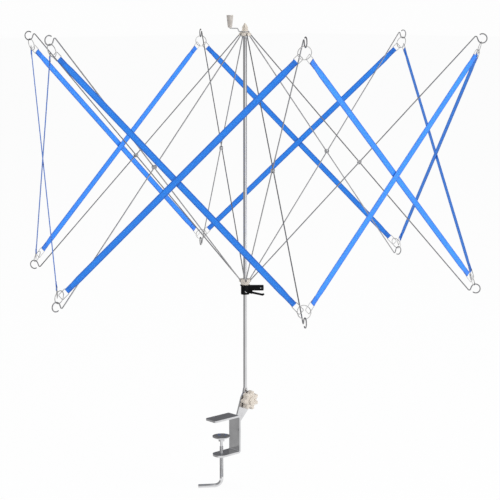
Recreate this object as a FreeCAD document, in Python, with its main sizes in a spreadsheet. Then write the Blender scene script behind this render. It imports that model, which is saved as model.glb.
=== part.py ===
import FreeCAD
import Part
import Sketcher
import math
import os
from FreeCAD import Placement, Rotation, Vector

# Umbrella swift: a clamp with a tilting rod, and a scissor of twelve wire ribs that spins on the
# rod, carries twelve rings at its tips and is laced with twelve flat straps.
# Origin: the underside of the clamp's top plate, on the axis of the clamp screw.
# The clamp opens towards -X, and the rod stands behind it at +X.

doc = FreeCAD.newDocument("umbrella_swift")
sheet = doc.addObject("Spreadsheet::Sheet", "Sizes")


class Size:
    """A number that also keeps the sheet formula that it is worked out by."""

    def __init__(self, value, formula):
        self.value = float(value)
        self.formula = formula

    def __add__(self, other):
        other = as_size(other)
        return Size(self.value + other.value, "(%s + %s)" % (self.formula, other.formula))

    def __sub__(self, other):
        other = as_size(other)
        return Size(self.value - other.value, "(%s - %s)" % (self.formula, other.formula))

    def __mul__(self, other):
        other = as_size(other)
        return Size(self.value * other.value, "(%s * %s)" % (self.formula, other.formula))

    def __truediv__(self, other):
        other = as_size(other)
        return Size(self.value / other.value, "(%s / %s)" % (self.formula, other.formula))

    def __neg__(self):
        return Size(-self.value, "(0 - %s)" % self.formula)


def as_size(number):
    return number if isinstance(number, Size) else Size(number, "%.9g" % number)


def sine(angle):
    angle = as_size(angle)
    return Size(math.sin(math.radians(angle.value)), "sin(%s)" % angle.formula)


def cosine(angle):
    angle = as_size(angle)
    return Size(math.cos(math.radians(angle.value)), "cos(%s)" % angle.formula)


sheet_rows = []


def size(alias, value):
    """Write one driving dimension into the sheet."""
    sheet_rows.append(alias)
    cell = "B%d" % len(sheet_rows)
    sheet.set("A%d" % len(sheet_rows), alias.replace("_", " "))
    sheet.set(cell, "%.9g" % value)
    sheet.setAlias(cell, alias)
    return Size(value, "Sizes.%s" % alias)


# Clearances
running_gap = size("running_gap", 0.05)
seat_gap = size("seat_gap", 0.02)
face_gap = size("face_gap", 0.1)

# Clamp frame, bent from one flat strip
strip_width = size("strip_width", 25)
strip_thick = size("strip_thick", 3)
jaw_reach = size("jaw_reach", 24)
throat_depth = size("throat_depth", 28)
jaw_height = size("jaw_height", 57)
shelf_reach = size("shelf_reach", 14)
inner_bend = size("inner_bend", 1.5)
tip_round = size("tip_round", 4)
shelf_round = size("shelf_round", 11)

# Bracket plate between the clamp and the rod
bracket_thick = size("bracket_thick", 3)
bracket_round = size("bracket_round", 13.5)
bracket_drop = size("bracket_drop", 18)
pivot_out = size("pivot_out", 52)
pivot_up = size("pivot_up", 24)

# Clamp screw and its pad
screw_diameter = size("screw_diameter", 6)
neck_diameter = size("neck_diameter", 4)
neck_length = size("neck_length", 11)
ball_diameter = size("ball_diameter", 6.4)
handle_level = size("handle_level", 110)
handle_length = size("handle_length", 38)
handle_bend = size("handle_bend", 11)
handle_azimuth = size("handle_azimuth", 145)
pad_diameter = size("pad_diameter", 29)
pad_level = size("pad_level", 28)
pad_rim = size("pad_rim", 1.4)
pad_dish = size("pad_dish", 1.6)
pad_depth = size("pad_depth", 8.4)
ball_drop = size("ball_drop", 6)

# Pivot bolt and knob
bolt_diameter = size("bolt_diameter", 6)
bolt_head_across = size("bolt_head_across", 10)
bolt_head_thick = size("bolt_head_thick", 4)
washer_diameter = size("washer_diameter", 21)
washer_thick = size("washer_thick", 1.5)
knob_diameter = size("knob_diameter", 31)
knob_thick = size("knob_thick", 10)
knob_boss_diameter = size("knob_boss_diameter", 15)
knob_boss_rise = size("knob_boss_rise", 3)
knob_dish = size("knob_dish", 9)
knob_dish_depth = size("knob_dish_depth", 1)
knob_scallop = size("knob_scallop", 3.4)
knob_edge = size("knob_edge", 1.6)
knob_scallop_out = size("knob_scallop_out", 14.7)
knob_lobes = 7

# Rod
rod_diameter = size("rod_diameter", 6)
rod_reach = size("rod_reach", 590)
foot_thick = size("foot_thick", 4)
foot_round = size("foot_round", 7)
foot_length = size("foot_length", 18.5)
stop_diameter = size("stop_diameter", 11)
stop_thick = size("stop_thick", 2.5)

# Hubs
arms = 6
hub_diameter = size("hub_diameter", 19.4)
pin_circle = size("pin_circle", 8)
hub_floor = size("hub_floor", 2.7)
hub_cover = size("hub_cover", 14.6)
upper_cap_height = size("upper_cap_height", 4.3)
lower_cap_height = size("lower_cap_height", 5.5)

# Wire ribs
wire_diameter = size("wire_diameter", 1.8)
wire_offset = size("wire_offset", 1)
inner_half = size("inner_half", 266)
rising_half = size("rising_half", 266)
falling_half = size("falling_half", 262)
open_angle = size("open_angle", 47.9)
pin_bend = size("pin_bend", 1.2)
pin_reach = size("pin_reach", 3.4)
kink_bend = size("kink_bend", 2)
eye_radius = size("eye_radius", 6.9)
eye_along = size("eye_along", 2.6)
eye_side = size("eye_side", 10)
eye_end = size("eye_end", 77)
swivel_diameter = size("swivel_diameter", 6.4)
swivel_thick = size("swivel_thick", 2.6)

# Rings, links and straps
ring_radius = size("ring_radius", 9.6)
ring_wire = size("ring_wire", 1.2)
upper_ring_lean = size("upper_ring_lean", 16.8)
lower_ring_lean = size("lower_ring_lean", 21.7)
upper_link_place = size("upper_link_place", 46.6)
lower_link_place = size("lower_link_place", 32.1)
link_wire = size("link_wire", 1)
link_half_width = size("link_half_width", 4.75)
link_back = size("link_back", 2.8)
upper_link_free = size("upper_link_free", 8.5)
lower_link_free = size("lower_link_free", 13.5)
lower_link_centre_gap = size("lower_link_centre_gap", 2.95)
strap_width = size("strap_width", 8.3)
strap_thick = size("strap_thick", 0.5)
hem_thick = size("hem_thick", 2.2)
hem_length = size("hem_length", 12)
hem_bar = size("hem_bar", 1.4)
strap_stagger = size("strap_stagger", -0.24)

# Crank and grip
crank_wire = size("crank_wire", 1.8)
crank_reach = size("crank_reach", 23.7)
crank_azimuth = size("crank_azimuth", 137.4)
crank_rise = size("crank_rise", 8.6)
crank_loop = size("crank_loop", 6.4)
crank_loop_rise = size("crank_loop_rise", 3.2)
crank_pin = size("crank_pin", 14)
grip_height = size("grip_height", 21.7)
grip_top = size("grip_top", 11)
grip_bottom = size("grip_bottom", 6.6)
grip_wall = size("grip_wall", 1)
grip_floor = size("grip_floor", 8)
finial_height = size("finial_height", 11.6)
finial_width = size("finial_width", 9.2)
finial_fin = size("finial_fin", 1.4)

# Locking clip
clip_diameter = size("clip_diameter", 13.5)
clip_height = size("clip_height", 15.3)
clip_flange = size("clip_flange", 16)
clip_flange_thick = size("clip_flange_thick", 1.4)
clip_azimuth = size("clip_azimuth", -42.6)
tab_reach = size("tab_reach", 30)
tab_height = size("tab_height", 9)
tab_width = size("tab_width", 6)
ear_width = size("ear_width", 10)
lever_out = size("lever_out", 10)
lever_drop = size("lever_drop", 12.5)
lever_thick = size("lever_thick", 2.4)
lever_width = size("lever_width", 6)
lever_length = size("lever_length", 19)
lever_pin = size("lever_pin", 2)
window_out = size("window_out", 2.2)
window_drop = size("window_drop", 9.6)
window_radius = size("window_radius", 3.2)
window_depth = size("window_depth", 2.2)
lever_angle = size("lever_angle", 12)

doc.recompute()

origin = Vector(0, 0, 0)
up = Vector(0, 0, 1)


def new_body(label):
    body = doc.addObject("PartDesign::Body", label)
    body.Label = label
    return body


def origin_feature(body, role):
    for feature in body.Origin.OriginFeatures:
        if feature.Role == role:
            return feature
    raise ValueError(role)


def new_sketch(body, role, lift=None):
    """A sketch on one of the body's own origin planes, lifted along the plane's normal."""
    sketch = body.newObject("Sketcher::SketchObject", body.Name + "_sketch")
    sketch.AttachmentSupport = (origin_feature(body, role), [""])
    sketch.MapMode = "FlatFace"
    if lift is not None:
        sketch.setExpression("AttachmentOffset.Base.z", as_size(lift).formula)
    return sketch


def hold(sketch, kind, place, value):
    """Add one dimension to a sketch and bind it to the sheet."""
    value = as_size(value)
    index = sketch.addConstraint(Sketcher.Constraint(kind, *place, value.value))
    sketch.setExpression("Constraints[%d]" % index, value.formula)


def hold_point(sketch, geometry, point, x, y):
    """Place a point by its two distances from the sketch origin."""
    for kind, axis, distance in (("DistanceX", -2, x), ("DistanceY", -1, y)):
        if as_size(distance).value == 0:
            sketch.addConstraint(Sketcher.Constraint("PointOnObject", geometry, point, axis))
        else:
            hold(sketch, kind, (-1, 1, geometry, point), distance)


def draw_loop(sketch, corners):
    """A closed outline of straight edges through the corners."""
    first = sketch.GeometryCount
    count = len(corners)
    places = [Vector(as_size(x).value, as_size(y).value, 0) for x, y in corners]
    for number in range(count):
        sketch.addGeometry(Part.LineSegment(places[number], places[(number + 1) % count]), False)
    for number in range(count):
        after = first + (number + 1) % count
        sketch.addConstraint(Sketcher.Constraint("Coincident", first + number, 2, after, 1))
    for number, (x, y) in enumerate(corners):
        hold_point(sketch, first + number, 1, x, y)


def draw_circle(sketch, x, y, radius):
    index = sketch.GeometryCount
    centre = Vector(as_size(x).value, as_size(y).value, 0)
    sketch.addGeometry(Part.Circle(centre, up, as_size(radius).value), False)
    hold_point(sketch, index, 3, x, y)
    hold(sketch, "Radius", (index,), radius)


def draw_wire_section(sketch, x, y, radius, sides=6):
    """The wire's section, drawn with few sides because the same wire returns dozens of times."""
    corners = []
    for number in range(sides):
        turn = 360 * number / sides
        corners.append((as_size(x) + radius * cosine(turn), as_size(y) + radius * sine(turn)))
    draw_loop(sketch, corners)


def turn_point(centre, radius, angle):
    return centre + Vector(radius * math.cos(angle), radius * math.sin(angle), 0)


def draw_path(sketch, corners, bends):
    """An open path through the corners with a tangent arc of the given radius in each bend."""
    places = [Vector(as_size(x).value, as_size(y).value, 0) for x, y in corners]
    previous_end = places[0]
    pieces = []
    for number, bend in enumerate(bends):
        corner = places[number + 1]
        back = (places[number] - corner).normalize()
        ahead = (places[number + 2] - corner).normalize()
        half = back.getAngle(ahead) / 2
        setback = bend.value / math.tan(half)
        centre = corner + (back + ahead).normalize() * (bend.value / math.sin(half))
        enter = corner + back * setback
        leave = corner + ahead * setback
        left_turn = (enter - previous_end).cross(leave - enter).z > 0
        pieces.append((previous_end, enter, centre, leave, left_turn))
        previous_end = leave
    first_lines = []
    for number, (start, enter, centre, leave, left_turn) in enumerate(pieces):
        line = sketch.addGeometry(Part.LineSegment(start, enter), False)
        if number:
            sketch.addConstraint(Sketcher.Constraint("Tangent", last_arc, last_point, line, 1))
        else:
            hold_point(sketch, line, 1, *corners[0])
        first_lines.append(line)
        arc, begins, ends = draw_arc(sketch, centre, enter, leave, left_turn)
        sketch.addConstraint(Sketcher.Constraint("Tangent", line, 2, arc, begins))
        hold(sketch, "Radius", (arc,), bends[number])
        last_arc = arc
        last_point = ends
    line = sketch.addGeometry(Part.LineSegment(previous_end, places[-1]), False)
    sketch.addConstraint(Sketcher.Constraint("Tangent", last_arc, last_point, line, 1))
    first_lines.append(line)
    hold_point(sketch, line, 2, *corners[-1])
    for number in range(len(bends)):
        mark = sketch.addGeometry(Part.Point(places[number + 1]), True)
        hold_point(sketch, mark, 1, *corners[number + 1])
        sketch.addConstraint(Sketcher.Constraint("PointOnObject", mark, 1, first_lines[number]))
        sketch.addConstraint(Sketcher.Constraint("PointOnObject", mark, 1, first_lines[number + 1]))


def draw_arc(sketch, centre, start, end, left_turn):
    """An arc, with the numbers of its geometry and of its two ends in the order travelled."""
    circle = Part.Circle(centre, up, (start - centre).Length)
    start_angle = math.atan2(start.y - centre.y, start.x - centre.x)
    end_angle = math.atan2(end.y - centre.y, end.x - centre.x)
    if not left_turn:
        start_angle, end_angle = end_angle, start_angle
    while end_angle <= start_angle:
        end_angle += 2 * math.pi
    arc = sketch.addGeometry(Part.ArcOfCircle(circle, start_angle, end_angle), False)
    return (arc, 1, 2) if left_turn else (arc, 2, 1)


def pad(body, sketch, length, symmetric=False, reverse=False):
    feature = body.newObject("PartDesign::Pad", body.Name + "_pad")
    feature.Profile = sketch
    feature.setExpression("Length", as_size(length).formula)
    feature.SideType = "Symmetric" if symmetric else "One side"
    feature.Reversed = reverse
    return feature


def pocket(body, sketch, length, symmetric=False, reverse=False):
    feature = body.newObject("PartDesign::Pocket", body.Name + "_pocket")
    feature.Profile = sketch
    feature.setExpression("Length", as_size(length).formula)
    feature.SideType = "Symmetric" if symmetric else "One side"
    feature.Reversed = reverse
    return feature


def revolve(body, sketch, axis="V_Axis", angle=360, groove=False, reverse=False):
    kind = "PartDesign::Groove" if groove else "PartDesign::Revolution"
    feature = body.newObject(kind, body.Name + "_revolve")
    feature.Profile = sketch
    feature.ReferenceAxis = (sketch, [axis])
    feature.Angle = angle
    feature.Reversed = reverse
    return feature


def pipe(body, path, section):
    feature = body.newObject("PartDesign::AdditivePipe", body.Name + "_pipe")
    feature.Profile = section
    feature.Spine = (path, [])
    return feature


def round_edges(body, radius, chosen, kind="PartDesign::Fillet"):
    """Fillet or chamfer the edges of the body's tip for which chosen(edge) is true."""
    doc.recompute()
    base = body.Tip
    names = ["Edge%d" % (number + 1) for number, edge in enumerate(base.Shape.Edges) if chosen(edge)]
    feature = body.newObject(kind, body.Name + "_edges")
    feature.Base = (base, names)
    name = "Radius" if kind == "PartDesign::Fillet" else "Size"
    feature.setExpression(name, as_size(radius).formula)
    return feature


def polar(body, features, count):
    feature = body.newObject("PartDesign::PolarPattern", body.Name + "_pattern")
    feature.Originals = features
    feature.Axis = (origin_feature(body, "Z_Axis"), [""])
    feature.Angle = 360
    feature.Occurrences = count
    body.Tip = feature
    return feature


def lies_along(edge, direction):
    """True for a straight edge along the direction."""
    if len(edge.Vertexes) != 2:
        return False
    run = edge.Vertexes[1].Point - edge.Vertexes[0].Point
    if run.Length < 0.01 or abs(edge.Length - run.Length) > 0.001:
        return False
    return abs(abs(run.normalize().dot(direction)) - 1) < 0.001


def middle(edge):
    return edge.CenterOfMass


def group(label, members):
    """Several separate solids of one body, kept together as one node."""
    compound = doc.addObject("Part::Compound", label)
    compound.Label = label
    compound.Links = members
    return compound


nodes = []


# Clamp frame: a 25 mm strip bent to a C, with the bracket plate welded to its back
clamp = new_body("clamp_frame")
outer_back = throat_depth + strip_thick
profile = new_sketch(clamp, "XZ_Plane")
draw_loop(profile, [
    (-jaw_reach, 0),
    (throat_depth, 0),
    (throat_depth, -jaw_height),
    (-shelf_reach, -jaw_height),
    (-shelf_reach, -jaw_height - strip_thick),
    (outer_back, -jaw_height - strip_thick),
    (outer_back, strip_thick),
    (-jaw_reach, strip_thick),
])
pad(clamp, profile, strip_width, symmetric=True)
across = Vector(0, 1, 0)
round_edges(clamp, inner_bend + strip_thick, lambda edge: lies_along(edge, across)
            and abs(middle(edge).x - outer_back.value) < 0.01)
round_edges(clamp, inner_bend, lambda edge: lies_along(edge, across)
            and abs(middle(edge).x - throat_depth.value) < 0.01)
round_edges(clamp, tip_round, lambda edge: lies_along(edge, up)
            and abs(middle(edge).x + jaw_reach.value) < 0.01)
round_edges(clamp, shelf_round, lambda edge: lies_along(edge, up)
            and abs(middle(edge).x + shelf_reach.value) < 0.01)
bore = new_sketch(clamp, "XY_Plane", -jaw_height)
draw_circle(bore, 0, 0, screw_diameter / 2 + running_gap)
pocket(clamp, bore, strip_thick * 3, symmetric=True)

# The bracket plate stands on edge, tangent from the back of the frame to the round end at the bolt
bracket = new_sketch(clamp, "XZ_Plane", foot_thick / 2 + running_gap)


def tangent_touch(x, z, side):
    """Where the tangent from a point touches the bracket's round end, as two floats."""
    run = Vector(pivot_out.value - x, pivot_up.value - z, 0)
    swing = math.acos(bracket_round.value / run.Length)
    turn = math.atan2(-run.y, -run.x) + side * swing
    return turn_point(Vector(pivot_out.value, pivot_up.value, 0), bracket_round.value, turn)


weld_high = Vector(outer_back.value, 0, 0)
weld_low = Vector(outer_back.value, -bracket_drop.value, 0)
touch_high = tangent_touch(weld_high.x, weld_high.y, -1)
touch_low = tangent_touch(weld_low.x, weld_low.y, 1)
bolt_centre = Vector(pivot_out.value, pivot_up.value, 0)
base_line = bracket.addGeometry(Part.LineSegment(weld_high, weld_low), False)
low_line = bracket.addGeometry(Part.LineSegment(weld_low, touch_low), False)
round_end, round_first, round_last = draw_arc(bracket, bolt_centre, touch_low, touch_high, True)
high_line = bracket.addGeometry(Part.LineSegment(touch_high, weld_high), False)
bracket.addConstraint(Sketcher.Constraint("Coincident", base_line, 2, low_line, 1))
bracket.addConstraint(Sketcher.Constraint("Coincident", high_line, 2, base_line, 1))
bracket.addConstraint(Sketcher.Constraint("Tangent", low_line, 2, round_end, round_first))
bracket.addConstraint(Sketcher.Constraint("Tangent", round_end, round_last, high_line, 1))
hold_point(bracket, base_line, 1, outer_back - inner_bend, 0)
hold_point(bracket, base_line, 2, outer_back - inner_bend, -bracket_drop)
hold_point(bracket, round_end, 3, pivot_out, pivot_up)
hold(bracket, "Radius", (round_end,), bracket_round)
pad(clamp, bracket, bracket_thick)
bore = new_sketch(clamp, "XZ_Plane")
draw_circle(bore, pivot_out, pivot_up, bolt_diameter / 2 + running_gap)
pocket(clamp, bore, strip_width, symmetric=True)
nodes.append(clamp)

# Clamp pad: a turned dish with a round socket under it for the screw's ball
clamp_pad = new_body("clamp_pad")
profile = new_sketch(clamp_pad, "XZ_Plane")
pad_radius = pad_diameter / 2
socket_wall = as_size(1.5)
draw_loop(profile, [
    (0, -pad_dish),
    (pad_radius / 2, -pad_dish),
    (pad_radius - pad_rim, 0),
    (pad_radius, 0),
    (pad_radius, -pad_rim),
    (ball_diameter / 2 + socket_wall, -ball_drop),
    (ball_diameter / 2 + socket_wall, -pad_depth),
    (0, -pad_depth),
])
revolve(clamp_pad, profile)
socket = clamp_pad.newObject("PartDesign::SubtractiveSphere", "clamp_pad_socket")
socket.setExpression("Radius", (ball_diameter / 2 + running_gap).formula)
socket.AttachmentSupport = (origin_feature(clamp_pad, "XY_Plane"), [""])
socket.MapMode = "FlatFace"
socket.setExpression("AttachmentOffset.Base.z", (-ball_drop).formula)
mouth = new_sketch(clamp_pad, "XY_Plane", -pad_depth)
draw_circle(mouth, 0, 0, neck_diameter / 2 + face_gap)
pocket(clamp_pad, mouth, pad_depth - ball_drop, reverse=True)
clamp_pad.Placement = Placement(Vector(0, 0, -pad_level.value), Rotation())
nodes.append(clamp_pad)

# Clamp screw: ball, neck, threaded shank and the handle bent from the same bar
screw = new_body("clamp_screw")
thread_top = pad_level + ball_drop + neck_length
path = new_sketch(screw, "XZ_Plane")
draw_path(path, [
    (0, -thread_top),
    (0, -handle_level),
    (handle_length, -handle_level),
], [handle_bend])
section = new_sketch(screw, "XY_Plane", -thread_top)
draw_circle(section, 0, 0, screw_diameter / 2)
pipe(screw, path, section)
neck = new_sketch(screw, "XY_Plane", -thread_top)
draw_circle(neck, 0, 0, neck_diameter / 2)
pad(screw, neck, neck_length)
ball = screw.newObject("PartDesign::AdditiveSphere", "clamp_screw_ball")
ball.setExpression("Radius", (ball_diameter / 2).formula)
ball.AttachmentSupport = (origin_feature(screw, "XY_Plane"), [""])
ball.MapMode = "FlatFace"
ball.setExpression("AttachmentOffset.Base.z", (-pad_level - ball_drop).formula)
screw.Placement = Placement(origin, Rotation(up, handle_azimuth.value))
nodes.append(screw)

# Pivot bolt: hexagon head behind the rod's foot, shank through the bracket into the knob,
# with a toothed washer between the bracket and the knob
foot_back = foot_thick / 2
bracket_front = foot_back + running_gap + bracket_thick
knob_back = bracket_front + running_gap + washer_thick + running_gap
bolt = new_body("bolt_with_head")
head = new_sketch(bolt, "XZ_Plane", -foot_back - running_gap)
head_corner = bolt_head_across / (cosine(30) * 2)
corners = []
for number in range(6):
    corners.append((head_corner * cosine(60 * number), head_corner * sine(60 * number)))
draw_loop(head, corners)
pad(bolt, head, bolt_head_thick, reverse=True)
shank = new_sketch(bolt, "XZ_Plane", -foot_back - running_gap)
draw_circle(shank, 0, 0, bolt_diameter / 2)
pad(bolt, shank, foot_back + running_gap + knob_back + knob_thick)
washer = new_body("toothed_washer")
teeth = new_sketch(washer, "XY_Plane")
corners = []
washer_teeth = 16
for number in range(washer_teeth):
    tooth = 360 * number / washer_teeth
    valley = 360 * (number + 0.5) / washer_teeth
    corners.append((washer_diameter / 2 * cosine(tooth), washer_diameter / 2 * sine(tooth)))
    inner = washer_diameter / 2 - washer_thick
    corners.append((inner * cosine(valley), inner * sine(valley)))
draw_loop(teeth, corners)
draw_circle(teeth, 0, 0, bolt_diameter / 2 + running_gap)
pad(washer, teeth, washer_thick)
pivot = Vector(pivot_out.value, 0, pivot_up.value)
bolt.Placement = Placement(pivot, Rotation())
forward = Rotation(Vector(1, 0, 0), 90)
washer_seat = Vector(pivot.x, -(bracket_front + running_gap).value, pivot.z)
washer.Placement = Placement(washer_seat, forward)
nodes.append(group("pivot_bolt", [bolt, washer]))

# Knob: moulded star with seven lobes and a raised boss, on the end of the bolt
knob = new_body("knob")
disc = new_sketch(knob, "XY_Plane")
draw_circle(disc, 0, 0, knob_diameter / 2)
pad(knob, disc, knob_thick)
scallop = new_sketch(knob, "XY_Plane")
draw_circle(scallop, knob_scallop_out, 0, knob_scallop)
scallop_cut = pocket(knob, scallop, knob_thick, reverse=True)
doc.recompute()
polar(knob, [scallop_cut], knob_lobes)
round_edges(knob, knob_scallop * 0.7, lambda edge: lies_along(edge, up)
            and abs(math.hypot(middle(edge).x, middle(edge).y) - knob_diameter.value / 2) < 0.01)
round_edges(knob, knob_edge, lambda edge: not lies_along(edge, up)
            and abs(middle(edge).z - knob_thick.value) < 0.01, kind="PartDesign::Chamfer")
boss = new_sketch(knob, "XY_Plane", knob_thick - knob_boss_rise)
draw_circle(boss, 0, 0, knob_boss_diameter / 2)
boss_pad = pad(knob, boss, knob_boss_rise * 2)
boss_pad.TaperAngle = -8
dish = new_sketch(knob, "XY_Plane", knob_thick + knob_boss_rise)
draw_circle(dish, 0, 0, knob_dish / 2)
dish_cut = pocket(knob, dish, knob_dish_depth)
dish_cut.TaperAngle = -30
bore = new_sketch(knob, "XY_Plane")
draw_circle(bore, 0, 0, bolt_diameter / 2 + running_gap)
pocket(knob, bore, knob_thick + face_gap, reverse=True)
knob.Placement = Placement(Vector(pivot.x, -knob_back.value, pivot.z), forward)
nodes.append(knob)

# Rod: round bar with a flattened, drilled foot, and a stop ring that the upper hub stands on
rod_bar = new_body("rod_bar")
hub_level = rod_reach
foot = new_sketch(rod_bar, "XZ_Plane")
draw_circle(foot, 0, 0, foot_round)
pad(rod_bar, foot, foot_thick, symmetric=True)
neck = new_sketch(rod_bar, "XZ_Plane")
draw_loop(neck, [
    (-foot_round * 0.94, foot_round / 3),
    (foot_round * 0.94, foot_round / 3),
    (rod_diameter / 2, foot_length),
    (-rod_diameter / 2, foot_length),
])
pad(rod_bar, neck, foot_thick, symmetric=True)
stem = new_sketch(rod_bar, "XY_Plane", foot_length - foot_thick)
draw_circle(stem, 0, 0, rod_diameter / 2)
cap_floor = wire_diameter / 2 + face_gap + seat_gap
cap_roof = cap_floor + upper_cap_height * 0.9
stem_length = hub_level + cap_roof - face_gap * 2 - foot_length + foot_thick
pad(rod_bar, stem, stem_length)
bore = new_sketch(rod_bar, "XZ_Plane")
draw_circle(bore, 0, 0, bolt_diameter / 2 + running_gap)
pocket(rod_bar, bore, rod_diameter * 2, symmetric=True)
rod_bar.Placement = Placement(pivot, Rotation())
stop = new_body("rod_stop_ring")
section = new_sketch(stop, "XY_Plane", hub_level - hub_floor - face_gap - stop_thick)
draw_circle(section, 0, 0, stop_diameter / 2)
draw_circle(section, 0, 0, rod_diameter / 2 + seat_gap)
pad(stop, section, stop_thick)
stop.Placement = Placement(pivot, Rotation())
nodes.append(group("rod", [rod_bar, stop]))

# Linkage at rest: each crossing pair of ribs makes the open angle above and below the level
crossing_drop = inner_half.value * math.sin(math.radians(open_angle.value))
upper_level = pivot_up.value + rod_reach.value
lower_level = upper_level - 2 * crossing_drop
upper_hub_place = Vector(pivot.x, 0, upper_level)
lower_hub_place = Vector(pivot.x, 0, lower_level)


def arm_turn(number):
    return 360.0 / arms * number


def outward(turn):
    return Vector(math.cos(math.radians(turn)), math.sin(math.radians(turn)), 0)


def sideways(turn):
    return up.cross(outward(turn))


# Hubs: a notched core holds the ribs' bent ends, and a cover closes the notches
notch_gap = running_gap * 4
wire_radius = wire_diameter / 2
core_top = wire_radius + face_gap
pin_notch = wire_radius + running_gap


def notched_core(label, side):
    """A core with six slots; side is the side of each arm that the wire stands on."""
    core = new_body(label)
    disc_sketch = new_sketch(core, "XY_Plane", -hub_floor)
    draw_circle(disc_sketch, 0, 0, hub_diameter / 2)
    draw_circle(disc_sketch, 0, 0, rod_diameter / 2 + running_gap)
    pad(core, disc_sketch, hub_floor + core_top)
    slot_in = pin_circle - wire_radius - notch_gap
    slot_out = hub_diameter / 2 + wire_diameter
    far_wall = (wire_offset + wire_radius + notch_gap) * side
    near_wall = (wire_offset - pin_bend - notch_gap) * side
    pin_wall = (wire_offset - pin_reach - notch_gap) * side
    slot_sketch = new_sketch(core, "XY_Plane", -hub_floor)
    draw_loop(slot_sketch, [
        (slot_in, far_wall),
        (slot_out, far_wall),
        (slot_out, near_wall),
        (slot_in, near_wall),
    ])
    slot_cut = pocket(core, slot_sketch, (hub_floor + core_top) * 2, symmetric=True)
    pin_sketch = new_sketch(core, "XY_Plane", core_top)
    draw_loop(pin_sketch, [
        (pin_circle - pin_notch, far_wall),
        (pin_circle + pin_notch, far_wall),
        (pin_circle + pin_notch, pin_wall),
        (pin_circle - pin_notch, pin_wall),
    ])
    pin_cut = pocket(core, pin_sketch, core_top + pin_notch)
    doc.recompute()
    polar(core, [slot_cut, pin_cut], arms)
    return core


upper_core = notched_core("upper_hub_core", 1)
upper_core.Placement = Placement(upper_hub_place, Rotation())

# Upper cap: a grooved spool that the crank's loop sits in
upper_cap = new_body("upper_hub_cap")
groove_half = crank_wire / 2 + running_gap
groove_root = crank_loop - crank_wire / 2 - seat_gap
profile = new_sketch(upper_cap, "XZ_Plane")
cap_top = cap_floor + upper_cap_height
draw_loop(profile, [
    (0, cap_roof),
    (rod_diameter / 2 + running_gap, cap_roof),
    (rod_diameter / 2 + running_gap, cap_floor),
    (hub_cover / 2 + wire_diameter, cap_floor),
    (hub_cover / 2, crank_loop_rise - groove_half),
    (groove_root, crank_loop_rise - groove_half),
    (groove_root, crank_loop_rise + groove_half),
    (hub_cover / 2 - wire_radius, crank_loop_rise + groove_half),
    (hub_cover / 2 - wire_diameter, cap_top),
    (0, cap_top),
])
revolve(upper_cap, profile)
upper_cap.Placement = Placement(upper_hub_place, Rotation())

# Finial: four tapering fins that meet in a point above the cap
finial = new_body("upper_hub_finial")
finial_base = cap_top + seat_gap
for role in ("XZ_Plane", "YZ_Plane"):
    fin = new_sketch(finial, role)
    draw_loop(fin, [
        (-finial_width / 2, finial_base),
        (finial_width / 2, finial_base),
        (finial_width / 2, finial_base + finial_height * 0.45),
        (finial_fin / 2, finial_base + finial_height),
        (-finial_fin / 2, finial_base + finial_height),
        (-finial_width / 2, finial_base + finial_height * 0.45),
    ])
    pad(finial, fin, finial_fin, symmetric=True)
stem_sketch = new_sketch(finial, "XY_Plane", finial_base)
draw_circle(stem_sketch, 0, 0, finial_width / 2 - finial_fin)
stem_pad = pad(finial, stem_sketch, finial_height * 0.5)
stem_pad.TaperAngle = -12
finial.Placement = Placement(upper_hub_place, Rotation(up, crank_azimuth.value + 20))
nodes.append(group("upper_hub", [upper_core, upper_cap, finial]))

# Crank: one wire with a pin for the grip, a level arm, a step down and a loop round the cap
crank = new_body("crank")
path = new_sketch(crank, "XZ_Plane")
step_foot = crank_loop + crank_wire * 1.3
draw_path(path, [
    (crank_reach, crank_rise + crank_pin),
    (crank_reach, crank_rise),
    (step_foot + crank_wire * 1.5, crank_rise),
    (step_foot, crank_loop_rise),
    (crank_loop, crank_loop_rise),
], [pin_bend, crank_wire, crank_wire])
section = new_sketch(crank, "XY_Plane", crank_rise + crank_pin)
draw_wire_section(section, crank_reach, 0, crank_wire / 2)
pipe(crank, path, section)
loop_path = new_sketch(crank, "XZ_Plane")
draw_wire_section(loop_path, crank_loop, crank_loop_rise, crank_wire / 2)
crank_loop_angle = 330
revolve(crank, loop_path, angle=crank_loop_angle)
button = new_sketch(crank, "XY_Plane", crank_rise + grip_floor + face_gap * 3)
draw_circle(button, crank_reach, 0, crank_wire)
pad(crank, button, crank_wire / 2)
crank.Placement = Placement(upper_hub_place, Rotation(up, crank_azimuth.value))
nodes.append(crank)

# Grip: hollow, open at the top, wider upwards, and free to spin on the crank's pin
grip = new_body("crank_grip")
profile = new_sketch(grip, "XZ_Plane")
pin_bore = crank_wire / 2 + running_gap
grip_foot = pin_bend + face_gap
floor_top = grip_floor
floor_radius = grip_bottom / 2 - grip_wall * 0.7
draw_loop(profile, [
    (pin_bore, grip_foot),
    (grip_bottom / 2 - grip_wall / 2, grip_foot),
    (grip_bottom / 2, grip_foot + grip_wall / 2),
    (grip_top / 2, grip_height - crank_wire / 2),
    (grip_top / 2 - grip_wall, grip_height - crank_wire / 2),
    (floor_radius, floor_top),
    (pin_bore, floor_top),
])
revolve(grip, profile)
grip_place = outward(crank_azimuth.value) * crank_reach.value + up * crank_rise.value
grip.Placement = Placement(upper_hub_place + grip_place, Rotation())
nodes.append(grip)

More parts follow.
